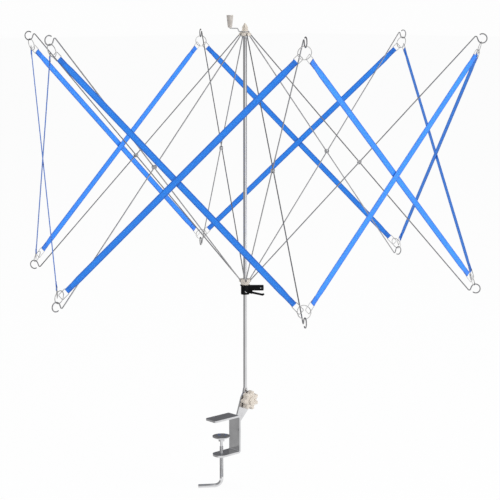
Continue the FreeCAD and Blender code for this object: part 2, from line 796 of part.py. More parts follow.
# Lower hub: the same core turned over, with a cup below it that rests on the clip
lower_core = notched_core("lower_hub_core", 1)
lower_core.Placement = Placement(lower_hub_place, Rotation(Vector(1, 0, 0), 180))
lower_cup = new_body("lower_hub_cup")
profile = new_sketch(lower_cup, "XZ_Plane")
cup_top = -core_top - seat_gap
draw_loop(profile, [
    (rod_diameter / 2 + running_gap, cup_top),
    (hub_cover / 2 + wire_diameter, cup_top),
    (hub_cover / 2, cup_top - lower_cap_height * 0.4),
    (hub_cover / 2 - wire_radius, cup_top - lower_cap_height),
    (rod_diameter / 2 + running_gap, cup_top - lower_cap_height),
])
revolve(lower_cup, profile)
lower_cup.Placement = Placement(lower_hub_place, Rotation())
nodes.append(group("lower_hub", [lower_core, lower_cup]))


def rib_wire(label, outer_half, rising):
    """One wire rib along +X from its hub pin, with the pin to one side, the eye at its tip and
    half of the round swivel moulded on it where the two ribs of an arm cross."""
    body = new_body(label)
    away = -1 if rising else 1
    kink = inner_half + outer_half
    centre_x = kink + eye_along
    centre_y = eye_side * away
    centre = Vector(centre_x.value, centre_y.value, 0)
    radius = eye_radius.value
    corner = Vector(kink.value, 0, 0)
    run = corner - centre
    swing = math.acos(radius / run.Length)
    touch_turn = math.atan2(run.y, run.x) - away * swing
    touch = turn_point(centre, radius, touch_turn)
    ahead = (touch - corner).normalize()
    back = Vector(-1, 0, 0)
    half = back.getAngle(ahead) / 2
    setback = kink_bend.value / math.tan(half)
    enter = corner + back * setback
    leave = corner + ahead * setback
    bend_centre = corner + (back + ahead).normalize() * (kink_bend.value / math.sin(half))
    end_x = eye_radius * cosine(eye_end)
    end_y = eye_radius * sine(eye_end) * -away
    end = centre + Vector(end_x.value, end_y.value, 0)
    path_sketch = new_sketch(body, "XZ_Plane")
    line = path_sketch.addGeometry(Part.LineSegment(origin, enter), False)
    bend, bend_first, bend_last = draw_arc(path_sketch, bend_centre, enter, leave, away > 0)
    shank_line = path_sketch.addGeometry(Part.LineSegment(leave, touch), False)
    eye, eye_first, eye_last = draw_arc(path_sketch, centre, touch, end, away < 0)
    mark = path_sketch.addGeometry(Part.Point(corner), True)
    hold_point(path_sketch, line, 1, 0, 0)
    hold_point(path_sketch, mark, 1, kink, 0)
    path_sketch.addConstraint(Sketcher.Constraint("PointOnObject", mark, 1, line))
    path_sketch.addConstraint(Sketcher.Constraint("PointOnObject", mark, 1, shank_line))
    path_sketch.addConstraint(Sketcher.Constraint("Tangent", line, 2, bend, bend_first))
    path_sketch.addConstraint(Sketcher.Constraint("Tangent", bend, bend_last, shank_line, 1))
    path_sketch.addConstraint(Sketcher.Constraint("Tangent", shank_line, 2, eye, eye_first))
    hold(path_sketch, "Radius", (bend,), kink_bend)
    hold_point(path_sketch, eye, 3, centre_x, centre_y)
    hold(path_sketch, "Radius", (eye,), eye_radius)
    hold(path_sketch, "DistanceX", (-1, 1, eye, eye_last), centre_x + end_x)
    section_sketch = new_sketch(body, "YZ_Plane")
    draw_wire_section(section_sketch, 0, 0, wire_radius, sides=4)
    pipe(body, path_sketch, section_sketch)
    pin_way = 1 if rising else -1
    pin_sketch = new_sketch(body, "XZ_Plane", wire_radius * pin_way)
    draw_circle(pin_sketch, 0, 0, wire_radius)
    pad(body, pin_sketch, pin_reach + wire_radius, reverse=rising)
    swivel = new_sketch(body, "XZ_Plane", (running_gap / 2 - wire_offset) * pin_way)
    draw_circle(swivel, inner_half, 0, swivel_diameter / 2)
    pad(body, swivel, swivel_thick, reverse=not rising)
    return body


def ring_body(label):
    body = new_body(label)
    section_sketch = new_sketch(body, "XZ_Plane")
    draw_wire_section(section_sketch, ring_radius, 0, ring_wire / 2, sides=4)
    revolve(body, section_sketch)
    return body


def tip_eye(rising):
    """The eye's centre at rest in the arm's own plane: how far out, and how high."""
    outer_half = rising_half if rising else falling_half
    lift = open_angle.value if rising else -open_angle.value
    along = Vector(math.cos(math.radians(lift)), 0, math.sin(math.radians(lift)))
    inward_side = Vector(along.z, 0, -along.x) if rising else Vector(-along.z, 0, along.x)
    level = lower_level if rising else upper_level
    reach = (inner_half + outer_half + eye_along).value
    return Vector(pin_circle.value, 0, level) + along * reach + inward_side * eye_side.value


def ring_centre(rising):
    """The ring's centre and its lean's unit vector, in the arm's own plane."""
    lean = upper_ring_lean.value if rising else lower_ring_lean.value
    way = -1 if rising else 1
    hang = Vector(-math.sin(math.radians(lean)), 0, way * math.cos(math.radians(lean)))
    drop = eye_radius - wire_radius - ring_wire / 2 - running_gap + ring_radius
    return tip_eye(rising) + hang * drop.value, hang


def in_arm(point, turn, aside):
    """A point of the arm's own plane, placed at an arm and moved sideways by the wire's offset."""
    place = outward(turn) * point.x + up * point.z + sideways(turn) * aside
    return place + Vector(pivot.x, 0, 0)


def frame_rotation(x_axis, z_axis):
    y_axis = z_axis.cross(x_axis)
    return Rotation(x_axis, y_axis, z_axis, "ZXY")


for number in range(arms):
    turn = arm_turn(number)
    name = str(number + 1)
    for rising in (False, True):
        source = "lower" if rising else "upper"
        tip = "upper" if rising else "lower"
        aside = -wire_offset.value if rising else wire_offset.value
        rib = rib_wire("rib_from_%s_hub_%s" % (source, name),
                       rising_half if rising else falling_half, rising)
        level = lower_level if rising else upper_level
        lift = open_angle.value if rising else -open_angle.value
        place = in_arm(Vector(pin_circle.value, 0, level), turn, aside)
        pose = Placement(place, Rotation(up, turn).multiply(Rotation(Vector(0, 1, 0), -lift)))
        rib.Placement = pose
        nodes.append(rib)
        ring = ring_body("%s_ring_%s" % (tip, name))
        centre, hang = ring_centre(rising)
        hang_world = outward(turn) * hang.x + up * hang.z
        normal = hang_world.cross(sideways(turn))
        ring.Placement = Placement(in_arm(centre, turn, aside), frame_rotation(hang_world, normal))
        nodes.append(ring)


def ring_point(rising, turn, side, place_angle):
    """A point on a ring's wire centreline, below or above its middle, on one side of the arm."""
    centre, hang = ring_centre(rising)
    aside = -wire_offset.value if rising else wire_offset.value
    hang_world = outward(turn) * hang.x + up * hang.z
    angle = math.radians(place_angle)
    step = sideways(turn) * (side * math.cos(angle)) + hang_world * math.sin(angle)
    return in_arm(centre, turn, aside) + step * ring_radius.value


def link_body(label, near_x, far_x):
    """A wire link round the strap: near_x and far_x are the middles of its two cross bars."""
    body = new_body(label)
    outline = new_sketch(body, "XY_Plane")
    for shift in (link_wire / 2, -link_wire / 2):
        half_wide = link_half_width + shift
        low = near_x - shift
        high = far_x + shift
        trim = link_wire / 2 + shift * 0.8
        draw_loop(outline, [
            (low + trim, -half_wide),
            (high - trim, -half_wide),
            (high, -half_wide + trim),
            (high, half_wide - trim),
            (high - trim, half_wide),
            (low + trim, half_wide),
            (low, half_wide - trim),
            (low, -half_wide + trim),
        ])
    pad(body, outline, link_wire, symmetric=True)
    return body


def strap_body(label, start, end):
    """Flat tape with a folded hem at each end, and in each hem the passage of the link's bar."""
    body = new_body(label)
    side_view = new_sketch(body, "XZ_Plane")
    half_tape = strap_thick / 2
    half_hem = hem_thick / 2
    slope = hem_thick
    draw_loop(side_view, [
        (start, -half_hem),
        (start + hem_length, -half_hem),
        (start + hem_length + slope, -half_tape),
        (end - hem_length - slope, -half_tape),
        (end - hem_length, -half_hem),
        (end, -half_hem),
        (end, half_hem),
        (end - hem_length, half_hem),
        (end - hem_length - slope, half_tape),
        (start + hem_length + slope, half_tape),
        (start + hem_length, half_hem),
        (start, half_hem),
    ])
    half_hole = link_wire / 2 + seat_gap
    for middle_x in (start + hem_bar, end - hem_bar):
        draw_loop(side_view, [
            (middle_x - half_hole, -half_hole),
            (middle_x + half_hole, -half_hole),
            (middle_x + half_hole, half_hole),
            (middle_x - half_hole, half_hole),
        ])
    pad(body, side_view, strap_width, symmetric=True)
    return body


# The lower links reach into their rings, and their far bars stop short of the ring centres
lower_link_slack = ring_radius - lower_link_centre_gap
for number in range(arms):
    for side in (1, -1):
        turn = arm_turn(number)
        other = (number + side) % arms
        name = "%d_to_%d" % (number + 1, other + 1)
        start_point = ring_point(True, turn, side, upper_link_place.value)
        end_point = ring_point(False, arm_turn(other), -side, lower_link_place.value)
        sector = outward(turn + side * 180.0 / arms)
        run = end_point - start_point
        length = as_size(run.Length)
        along = run.normalize()
        normal = (sector - along * sector.dot(along)).normalize()
        start = upper_link_free + link_wire / 2 - link_back
        end = length + lower_link_slack - lower_link_free
        strap = strap_body("strap_%s" % name, start, end)
        upper_link = link_body("upper_link_%s" % name, -link_back, start + hem_bar)
        lower_link = link_body("lower_link_%s" % name, end - hem_bar, length + lower_link_slack)
        place = start_point + sector * (side * strap_stagger.value)
        pose = Placement(place, frame_rotation(along, normal))
        for piece in (strap, upper_link, lower_link):
            piece.Placement = pose
        nodes.append(strap)
        nodes.append(group("strap_links_%s" % name, [upper_link, lower_link]))

# Clip collar: flanged at the top, with a thick tab for the thumb and a crescent window
clip = new_body("clip_moulding")
clip_top = cup_top - lower_cap_height - face_gap * 2
flange = new_sketch(clip, "XY_Plane", clip_top - clip_flange_thick)
draw_circle(flange, 0, 0, clip_flange / 2)
pad(clip, flange, clip_flange_thick)
collar = new_sketch(clip, "XY_Plane", clip_top - clip_height)
draw_circle(collar, 0, 0, clip_diameter / 2)
pad(clip, collar, clip_height - clip_flange_thick / 2)
tab = new_sketch(clip, "XZ_Plane")
tab_low = clip_top - tab_height
draw_loop(tab, [
    (0, tab_low),
    (tab_reach, tab_low),
    (tab_reach, clip_top - clip_flange_thick / 2),
    (0, clip_top - clip_flange_thick / 2),
])
pad(clip, tab, tab_width, symmetric=True)
round_edges(clip, tab_width / 4, lambda edge: abs(middle(edge).x - tab_reach.value) < 0.01)
ear_low = clip_top - clip_height + lever_pin
ears = new_sketch(clip, "XZ_Plane")
draw_loop(ears, [
    (0, ear_low),
    (lever_out, ear_low),
    (lever_out + lever_pin, ear_low + lever_pin),
    (lever_out + lever_pin, tab_low + lever_pin),
    (0, tab_low + lever_pin),
])
pad(clip, ears, ear_width, symmetric=True)
lever_level = clip_top - lever_drop
between_ears = new_sketch(clip, "XZ_Plane")
draw_loop(between_ears, [
    (clip_diameter / 2, ear_low - lever_pin),
    (lever_out + lever_pin * 2, ear_low - lever_pin),
    (lever_out + lever_pin * 2, tab_low),
    (clip_diameter / 2, tab_low),
])
pocket(clip, between_ears, lever_width + face_gap * 4, symmetric=True)
pin_hole = new_sketch(clip, "XZ_Plane")
draw_circle(pin_hole, lever_out, lever_level, lever_pin / 2 + seat_gap)
pocket(clip, pin_hole, ear_width * 2, symmetric=True)
window = new_sketch(clip, "XZ_Plane", clip_diameter / 2 - window_depth)
corners = []
for turn in range(125, 325, 25):
    corners.append((window_out + window_radius * cosine(turn),
                    clip_top - window_drop + window_radius * sine(turn)))
for turn in range(300, 125, -25):
    inner = window_radius * 0.72
    corners.append((window_out + window_radius * 0.3 + inner * cosine(turn),
                    clip_top - window_drop + window_radius * 0.3 + inner * sine(turn)))
draw_loop(window, corners)
pocket(clip, window, window_depth * 2, reverse=True)
bore = new_sketch(clip, "XY_Plane", clip_top - clip_height)
draw_circle(bore, 0, 0, rod_diameter / 2 + running_gap)
pocket(clip, bore, clip_height * 2, symmetric=True)
clip_pin = new_body("clip_pin")
section = new_sketch(clip_pin, "XZ_Plane")
draw_circle(section, lever_out, lever_level, lever_pin / 2)
pad(clip_pin, section, ear_width, symmetric=True)
clip_place = Placement(lower_hub_place, Rotation(up, clip_azimuth.value))
clip.Placement = clip_place
clip_pin.Placement = clip_place
nodes.append(group("clip_body", [clip, clip_pin]))

# Clip lever: a flat finger on the pin, with a turned-up end
lever = new_body("clip_lever")
side_view = new_sketch(lever, "XZ_Plane")
half_thick = lever_thick / 2
draw_loop(side_view, [
    (0, -half_thick),
    (lever_length, -half_thick),
    (lever_length + lever_thick, half_thick),
    (lever_length + lever_thick / 2, lever_thick),
    (lever_length - lever_thick / 2, half_thick),
    (0, half_thick),
])
pad(lever, side_view, lever_width, symmetric=True)
barrel = new_sketch(lever, "XZ_Plane")
draw_circle(barrel, 0, 0, lever_pin)
pad(lever, barrel, lever_width, symmetric=True)
bore = new_sketch(lever, "XZ_Plane")
draw_circle(bore, 0, 0, lever_pin / 2 + running_gap)
pocket(lever, bore, lever_width * 2, symmetric=True)
spin = Rotation(up, clip_azimuth.value)
lever_place = lower_hub_place + spin.multVec(Vector(lever_out.value, 0, lever_level.value))
lever.Placement = Placement(lever_place,
                            spin.multiply(Rotation(Vector(0, 1, 0), lever_angle.value)))
nodes.append(lever)

doc.recompute()

# Checks, then one file for each node
for item in doc.Objects:
    if "Invalid" in item.State or "Error" in item.State:
        raise RuntimeError("%s is %s" % (item.Label, item.State))
os.makedirs("parts", exist_ok=True)
for node in nodes:
    if node.Shape.isNull() or not node.Shape.isValid():
        raise RuntimeError("%s has no valid shape" % node.Label)
for node in nodes:
    node.Shape.exportStep("parts/%s.step" % node.Label)
    print(node.Label, len(node.Shape.Solids), round(node.Shape.Volume, 2))
print(len(nodes), "nodes")
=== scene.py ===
import math

import bpy
from mathutils import Matrix, Vector


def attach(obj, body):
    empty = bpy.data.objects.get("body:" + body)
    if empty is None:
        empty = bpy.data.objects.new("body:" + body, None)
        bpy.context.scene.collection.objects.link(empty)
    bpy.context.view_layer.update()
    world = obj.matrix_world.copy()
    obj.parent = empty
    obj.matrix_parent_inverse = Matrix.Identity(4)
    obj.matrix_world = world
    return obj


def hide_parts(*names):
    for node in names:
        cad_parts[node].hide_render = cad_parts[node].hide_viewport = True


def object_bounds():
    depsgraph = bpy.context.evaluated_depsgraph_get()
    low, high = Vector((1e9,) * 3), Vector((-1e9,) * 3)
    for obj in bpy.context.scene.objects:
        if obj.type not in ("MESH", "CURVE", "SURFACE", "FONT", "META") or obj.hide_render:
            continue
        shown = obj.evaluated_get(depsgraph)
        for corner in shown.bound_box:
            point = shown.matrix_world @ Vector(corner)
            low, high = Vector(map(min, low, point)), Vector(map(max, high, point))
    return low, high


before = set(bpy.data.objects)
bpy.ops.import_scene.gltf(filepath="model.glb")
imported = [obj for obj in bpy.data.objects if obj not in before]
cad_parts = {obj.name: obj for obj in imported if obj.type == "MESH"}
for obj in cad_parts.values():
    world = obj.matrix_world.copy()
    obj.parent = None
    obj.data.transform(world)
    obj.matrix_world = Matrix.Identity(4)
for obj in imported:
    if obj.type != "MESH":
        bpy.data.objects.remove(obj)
cad_low, cad_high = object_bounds()


# Camera: in front of the clamp's open side and to its right, level with the top of the swift and
# far away, so that the six tips lie almost on one line and the clamp is seen from a little above.
# From there, the long lens puts the hubs, the tips and the pivot where the photograph has them.
camera_place = (-1.5503, -1.7403, 0.6560)
camera_pitch = -7.750
camera_heading = 47.173
camera_lens = 107.416
camera_shift = -0.08
bpy.ops.object.select_all(action="DESELECT")
bpy.ops.object.camera_add(
    location=camera_place,
    rotation=(math.radians(90 + camera_pitch), 0, math.radians(camera_heading - 90)),
)
camera = bpy.context.object
camera.data.lens = camera_lens
camera.data.shift_y = camera_shift
camera.data.clip_start = 0.1
camera.data.clip_end = 60
bpy.context.scene.camera = camera


# Studio: a pale floor under the screw's handle, a big soft box to the camera's right and two weak
# ones, left and overhead. Plated parts mirror a room that is bright on the right, grey on the left
# and dark above and behind, with the big box as a white patch, which draws their edges.
floor_size = 60
floor_gap = 0.0005
floor_colour = (0.86, 0.86, 0.86, 1)
floor_white = 0.95
floor_lean = (0.11, -0.10, 0)
room_white = (0.985, 0.985, 0.985, 1)
room_light = (0.96, 0.98, 1, 1)
room_power = 0.5
bright_side = (0.73, -0.68, 0)
dark_side = (0.94, 0.34, 0)
side_edges = (-0.25, 0.45)
left_grey = 0.42
right_white = 1.05
ceiling_grey = (0.17, 0.17, 0.18, 1)
ceiling_edges = (0.02, 0.14)
ceiling_least = 0.1
patch_side = (0.39, -0.89, 0.24)
patch_edges = (0.93, 0.97)
patch_glare = 2.4
lamp_aim = Vector((0.05, 0, 0.3))


def select_only(piece):
    """Select one piece and make it the active one."""
    bpy.ops.object.select_all(action="DESELECT")
    piece.select_set(True)
    bpy.context.view_layer.objects.active = piece


def apply_place(piece):
    """Put a piece's place, turn and size into its mesh."""
    select_only(piece)
    bpy.ops.object.transform_apply(location=True, rotation=True, scale=True)


def ease_between(tree, value, edges, low=0, high=1):
    """A level that eases from low to high while a value passes between two edges."""
    node = tree.nodes.new("ShaderNodeMapRange")
    node.interpolation_type = "SMOOTHSTEP"
    node.inputs["From Min"].default_value = edges[0]
    node.inputs["From Max"].default_value = edges[1]
    node.inputs["To Min"].default_value = low
    node.inputs["To Max"].default_value = high
    tree.links.new(value, node.inputs["Value"])
    return node.outputs["Result"]


def add_product(tree, value, share):
    """A value times a share, which is a number or another node's output."""
    node = tree.nodes.new("ShaderNodeMath")
    node.operation = "MULTIPLY"
    tree.links.new(value, node.inputs[0])
    if isinstance(share, float):
        node.inputs[1].default_value = share
    else:
        tree.links.new(share, node.inputs[1])
    return node.outputs[0]


def add_vector_step(tree, operation, vector, other=(0, 0, 0)):
    """One step of vector arithmetic."""
    node = tree.nodes.new("ShaderNodeVectorMath")
    node.operation = operation
    node.inputs[1].default_value = other
    tree.links.new(vector, node.inputs[0])
    return node.outputs["Value" if operation == "DOT_PRODUCT" else "Vector"]


def add_side(tree, vector, toward, low, high):
    """A level that goes from low to high as a direction turns toward one side of the room."""
    level = add_vector_step(tree, "MULTIPLY", vector, (1, 1, 0))
    unit = add_vector_step(tree, "NORMALIZE", level)
    side = add_vector_step(tree, "DOT_PRODUCT", unit, toward)
    return ease_between(tree, side, side_edges, low, high)


def mix_shaders(tree, factor, first, second):
    """The first shader where the factor is 0, the second where it is 1."""
    node = tree.nodes.new("ShaderNodeMixShader")
    tree.links.new(factor, node.inputs[0])
    tree.links.new(first, node.inputs[1])
    tree.links.new(second, node.inputs[2])
    return node.outputs[0]


bpy.ops.mesh.primitive_plane_add(size=floor_size, location=(0, 0, cad_low.z - floor_gap))
floor = bpy.context.object
floor.name = "floor"
apply_place(floor)

floor_paper = bpy.data.materials.new("floor_paper")
floor_paper.use_nodes = True
tree = floor_paper.node_tree
tree.nodes.clear()
place = tree.nodes.new("ShaderNodeTexCoord")
light_path = tree.nodes.new("ShaderNodeLightPath")
paper = tree.nodes.new("ShaderNodeBsdfDiffuse")
paper.inputs["Color"].default_value = floor_colour
white = tree.nodes.new("ShaderNodeEmission")
white.inputs["Color"].default_value = (1, 1, 1, 1)
in_metal = tree.nodes.new("ShaderNodeEmission")
out = tree.nodes.new("ShaderNodeOutputMaterial")
lean = add_vector_step(tree, "ADD", place.outputs["Object"], floor_lean)
brightness = add_side(tree, lean, bright_side, left_grey, right_white)
tree.links.new(brightness, in_metal.inputs["Color"])
share = add_product(tree, light_path.outputs["Is Camera Ray"], floor_white)
surface = mix_shaders(tree, share, paper.outputs[0], white.outputs[0])
glossy = light_path.outputs["Is Glossy Ray"]
surface = mix_shaders(tree, glossy, surface, in_metal.outputs[0])
tree.links.new(surface, out.inputs["Surface"])
floor.data.materials.append(floor_paper)

room = bpy.data.worlds.new("pale_room")
bpy.context.scene.world = room
room.use_nodes = True
tree = room.node_tree
tree.nodes.clear()
direction = tree.nodes.new("ShaderNodeTexCoord")
height = tree.nodes.new("ShaderNodeSeparateXYZ")
dim = tree.nodes.new("ShaderNodeMix")
dim.data_type = "RGBA"
dim.inputs["B"].default_value = ceiling_grey
light_path = tree.nodes.new("ShaderNodeLightPath")
soft_light = tree.nodes.new("ShaderNodeBackground")
soft_light.inputs["Color"].default_value = room_light
soft_light.inputs["Strength"].default_value = room_power
seen_in_metal = tree.nodes.new("ShaderNodeBackground")
seen_by_camera = tree.nodes.new("ShaderNodeBackground")
seen_by_camera.inputs["Color"].default_value = room_white
out = tree.nodes.new("ShaderNodeOutputWorld")
facing = direction.outputs["Generated"]
tree.links.new(facing, height.inputs[0])
above = ease_between(tree, height.outputs["Z"], ceiling_edges)
behind = add_side(tree, facing, dark_side, ceiling_least, 1)
tree.links.new(add_product(tree, above, behind), dim.inputs["Factor"])
brightness = add_side(tree, facing, bright_side, left_grey, right_white)
tree.links.new(brightness, dim.inputs["A"])
near_patch = add_vector_step(tree, "DOT_PRODUCT", facing, patch_side)
glare = ease_between(tree, near_patch, patch_edges, 1, patch_glare)
tree.links.new(glare, seen_in_metal.inputs["Strength"])
tree.links.new(dim.outputs["Result"], seen_in_metal.inputs["Color"])
glossy = light_path.outputs["Is Glossy Ray"]
surface = mix_shaders(tree, glossy, soft_light.outputs[0], seen_in_metal.outputs[0])
camera_ray = light_path.outputs["Is Camera Ray"]
surface = mix_shaders(tree, camera_ray, surface, seen_by_camera.outputs[0])
tree.links.new(surface, out.inputs["Surface"])

for name, place, size, power in (
    ("key_box", (1.6, -3.6, 1.5), 2.4, 118),
    ("fill_box", (-3.4, -0.8, 2.0), 2.2, 44),
    ("overhead_box", (-0.6, 0.8, 3.8), 2.0, 30),
):
    aim = lamp_aim - Vector(place)
    bpy.ops.object.light_add(
        type="AREA", location=place, rotation=aim.to_track_quat("-Z", "Y").to_euler()
    )
    lamp = bpy.context.object
    lamp.name = name
    lamp.data.size = size
    lamp.data.energy = power
    lamp.visible_glossy = False
bpy.context.scene.view_settings.view_transform = "Standard"


# Clamp frame: a 25 mm steel strip bent to a C, with the bracket plate welded to its back, all
# zinc plated. The satin finish carries the strip's rolling streaks and some cloudy handling.
cloud_edges = (0.3, 0.7)


def new_group(name, inputs, outputs):
    """An empty shader group with its named sockets, its input and its output."""
    group = bpy.data.node_groups.new(name, "ShaderNodeTree")
    for kind, label, value in inputs:
        socket = group.interface.new_socket(label, in_out="INPUT", socket_type=kind)
        if value is not None:
            socket.default_value = value
    for kind, label in outputs:
        group.interface.new_socket(label, in_out="OUTPUT", socket_type=kind)
    return group, group.nodes.new("NodeGroupInput"), group.nodes.new("NodeGroupOutput")


# The grain group gives one cloudy or streaky pattern between two values
grain, inside, outside = new_group(
    "grain",
    (
        ("NodeSocketVector", "Vector", None),
        ("NodeSocketVector", "Stretch", (1, 1, 1)),
        ("NodeSocketFloat", "Scale", 100),
        ("NodeSocketFloat", "Detail", 4),
        ("NodeSocketFloat", "Low", 0),
        ("NodeSocketFloat", "High", 1),
    ),
    (("NodeSocketFloat", "Value"),),
)
stretch = grain.nodes.new("ShaderNodeVectorMath")
stretch.operation = "MULTIPLY"
noise = grain.nodes.new("ShaderNodeTexNoise")
spread = grain.nodes.new("ShaderNodeMapRange")
spread.inputs["From Min"].default_value = cloud_edges[0]
spread.inputs["From Max"].default_value = cloud_edges[1]
grain.links.new(inside.outputs["Vector"], stretch.inputs[0])
grain.links.new(inside.outputs["Stretch"], stretch.inputs[1])
grain.links.new(stretch.outputs[0], noise.inputs["Vector"])
grain.links.new(inside.outputs["Scale"], noise.inputs["Scale"])
grain.links.new(inside.outputs["Detail"], noise.inputs["Detail"])
grain.links.new(noise.outputs["Fac"], spread.inputs["Value"])
grain.links.new(inside.outputs["Low"], spread.inputs["To Min"])
grain.links.new(inside.outputs["High"], spread.inputs["To Max"])
grain.links.new(spread.outputs["Result"], outside.inputs["Value"])


def new_material(name, metallic):
    """A material with its Principled shader and the coordinates that its patterns follow."""
    material = bpy.data.materials.new(name)
    material.use_nodes = True
    nodes = material.node_tree.nodes
    shader = nodes["Principled BSDF"]
    shader.inputs["Metallic"].default_value = metallic
    where = nodes.new("ShaderNodeTexCoord")
    return material, shader, where.outputs["Object"]


def add_grain(material, where, stretch, scale, low, high, detail=4):
    """Place the grain group in a material with its own values."""
    node = material.node_tree.nodes.new("ShaderNodeGroup")
    node.node_tree = grain
    material.node_tree.links.new(where, node.inputs["Vector"])
    node.inputs["Stretch"].default_value = stretch
    node.inputs["Scale"].default_value = scale
    node.inputs["Detail"].default_value = detail
    node.inputs["Low"].default_value = low
    node.inputs["High"].default_value = high
    return node.outputs["Value"]


def two_tone(material, factor, dark, light):
    """A colour between two tones, by a mask."""
    node = material.node_tree.nodes.new("ShaderNodeMix")
    node.data_type = "RGBA"
    node.inputs["A"].default_value = (*dark, 1)
    node.inputs["B"].default_value = (*light, 1)
    material.node_tree.links.new(factor, node.inputs["Factor"])
    return node.outputs["Result"]


def colour_and_gloss(material, shader, tone, rough):
    """Give a material its colour and its roughness."""
    material.node_tree.links.new(tone, shader.inputs["Base Color"])
    material.node_tree.links.new(rough, shader.inputs["Roughness"])


def add_bump(material, shader, height, distance, strength):
    """Let a pattern raise the surface."""
    node = material.node_tree.nodes.new("ShaderNodeBump")
    node.inputs["Distance"].default_value = distance
    node.inputs["Strength"].default_value = strength
    material.node_tree.links.new(height, node.inputs["Height"])
    material.node_tree.links.new(node.outputs["Normal"], shader.inputs["Normal"])


def dress(node, material):
    """Give a carried-over CAD node its finish."""
    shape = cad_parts[node]
    shape.data.materials.clear()
    shape.data.materials.append(material)


zinc, shader, where = new_material("zinc_plated_strip", 1)
clouds = add_grain(zinc, where, (1, 1, 1), 60, 0, 1)
streaks = add_grain(zinc, where, (6, 90, 6), 14, 0.10, 0.18)
fine = add_grain(zinc, where, (4, 60, 4), 60, 0, 1)
tone = two_tone(zinc, clouds, (0.60, 0.60, 0.61), (0.70, 0.70, 0.71))
colour_and_gloss(zinc, shader, tone, streaks)
add_bump(zinc, shader, fine, 0.00001, 0.2)
dress("clamp_frame", zinc)


# Clamp screw: 6 mm bar, cut with a 1 mm thread above, turned down to a neck and a ball inside
# the pad, and bent at its foot into the handle. Bright zinc plate over the rolled bar.
def begin(vertices, radius, place, rotation):
    """Start a bar, tube or wire with the ring of its section, at rest in edit mode."""
    bpy.ops.object.select_all(action="DESELECT")
    bpy.ops.mesh.primitive_circle_add(
        vertices=vertices, radius=radius, fill_type="NOTHING", location=place, rotation=rotation
    )
    apply_place(bpy.context.object)
    bpy.ops.object.mode_set(mode="EDIT")
    bpy.ops.mesh.select_all(action="SELECT")
    return bpy.context.object


def straight(at, heading, length):
    """Go straight on for a length; every step gives the new place and heading."""
    bpy.ops.mesh.extrude_edges_move(TRANSFORM_OT_translate={"value": heading * length})
    return at + heading * length, heading


def bend(at, heading, angle, radius, axis, steps):
    """Bend the section's path about an axis; a negative angle bends it the other way."""
    way = 1 if angle > 0 else -1
    centre = at + axis.cross(heading) * (radius * way)
    bpy.ops.mesh.spin(steps=steps, angle=-math.radians(angle), center=centre, axis=axis)
    turn = Matrix.Rotation(math.radians(angle), 3, axis)
    return centre + turn @ (at - centre), turn @ heading


def taper(at, heading, length, share):
    """Go on for a length while the section grows or shrinks to a share of its size."""
    at, heading = straight(at, heading, length)
    bpy.ops.transform.resize(value=(share, share, share), center_override=at)
    return at, heading


def join_pieces(main, *others):
    """Make one piece of several."""
    select_only(main)
    for part in others:
        part.select_set(True)
    bpy.ops.object.join()


def close_ends():
    """Close a finished bar or wire and leave edit mode."""
    bpy.ops.mesh.select_all(action="SELECT")
    bpy.ops.mesh.fill_holes(sides=0)
    bpy.ops.mesh.select_all(action="SELECT")
    bpy.ops.mesh.normals_make_consistent(inside=False)
    bpy.ops.object.mode_set(mode="OBJECT")


def finish_piece(piece, name, material, body, angle):
    """Name a finished piece, shade it, and let it ride on its body."""
    piece.name = name
    piece.data.name = name
    piece.data.materials.clear()
    piece.data.materials.append(material)
    select_only(piece)
    bpy.ops.object.shade_smooth_by_angle(angle=math.radians(angle))
    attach(piece, body)


down = Vector((0, 0, -1))
bar_radius = 0.003
thread_depth = 0.00045
thread_pitch = 0.001
neck_top = -0.0364
neck_radius = 0.002
thread_top = -0.045
thread_foot = -0.096
handle_level = -0.110
handle_end = 0.038
handle_bend = 0.011
handle_turn = math.radians(145)
handle_round = 0.0008
handle_round_share = 0.78
ball_centre = -0.034
ball_radius = 0.0032
neck_shoulder = 0.0005
thread_shoulder = 0.0006
core_radius = bar_radius - thread_depth
ridge_half = thread_pitch * 0.46
ridge_start = thread_foot - 0.0004
screw = begin(24, neck_radius, (0, 0, neck_top), (0, 0, 0))
at, heading = Vector((0, 0, neck_top)), down
at, heading = straight(at, heading, neck_top - thread_top)
at, heading = taper(at, heading, neck_shoulder, core_radius / neck_radius)
at, heading = straight(at, heading, at.z - thread_foot)
at, heading = taper(at, heading, thread_shoulder, bar_radius / core_radius)
at, heading = straight(at, heading, at.z - handle_level - handle_bend)
level = Vector((math.cos(handle_turn), math.sin(handle_turn), 0))
at, heading = bend(at, heading, 90, handle_bend, heading.cross(level), 14)
at, heading = straight(at, heading, handle_end - handle_bend - handle_round)
taper(at, heading, handle_round, handle_round_share)
close_ends()
bpy.ops.object.select_all(action="DESELECT")
bpy.ops.mesh.primitive_uv_sphere_add(
    segments=32, ring_count=16, radius=ball_radius, location=(0, 0, ball_centre)
)
ball = bpy.context.object
apply_place(ball)
bpy.ops.object.select_all(action="DESELECT")
bpy.ops.mesh.primitive_circle_add(
    vertices=4,
    radius=ridge_half,
    fill_type="NOTHING",
    location=(core_radius, 0, ridge_start),
    rotation=(math.radians(90), 0, 0),
)
ridge = bpy.context.object
ridge.scale = (thread_depth / ridge_half, 1, 1)
apply_place(ridge)
helix = ridge.modifiers.new("helix", "SCREW")
helix.axis = "Z"
helix.screw_offset = thread_pitch
helix.iterations = round((thread_top - thread_foot) / thread_pitch)
helix.steps = 20
helix.render_steps = 20
helix.use_merge_vertices = False
bpy.ops.object.modifier_apply(modifier="helix")
bpy.ops.object.mode_set(mode="EDIT")
close_ends()
join_pieces(screw, ball, ridge)
plate, shader, where = new_material("bright_plate", 1)
clouds = add_grain(plate, where, (1, 1, 1), 90, 0, 1)
rough = add_grain(plate, where, (60, 60, 4), 22, 0.12, 0.2)
fine = add_grain(plate, where, (40, 40, 3), 60, 0, 1)
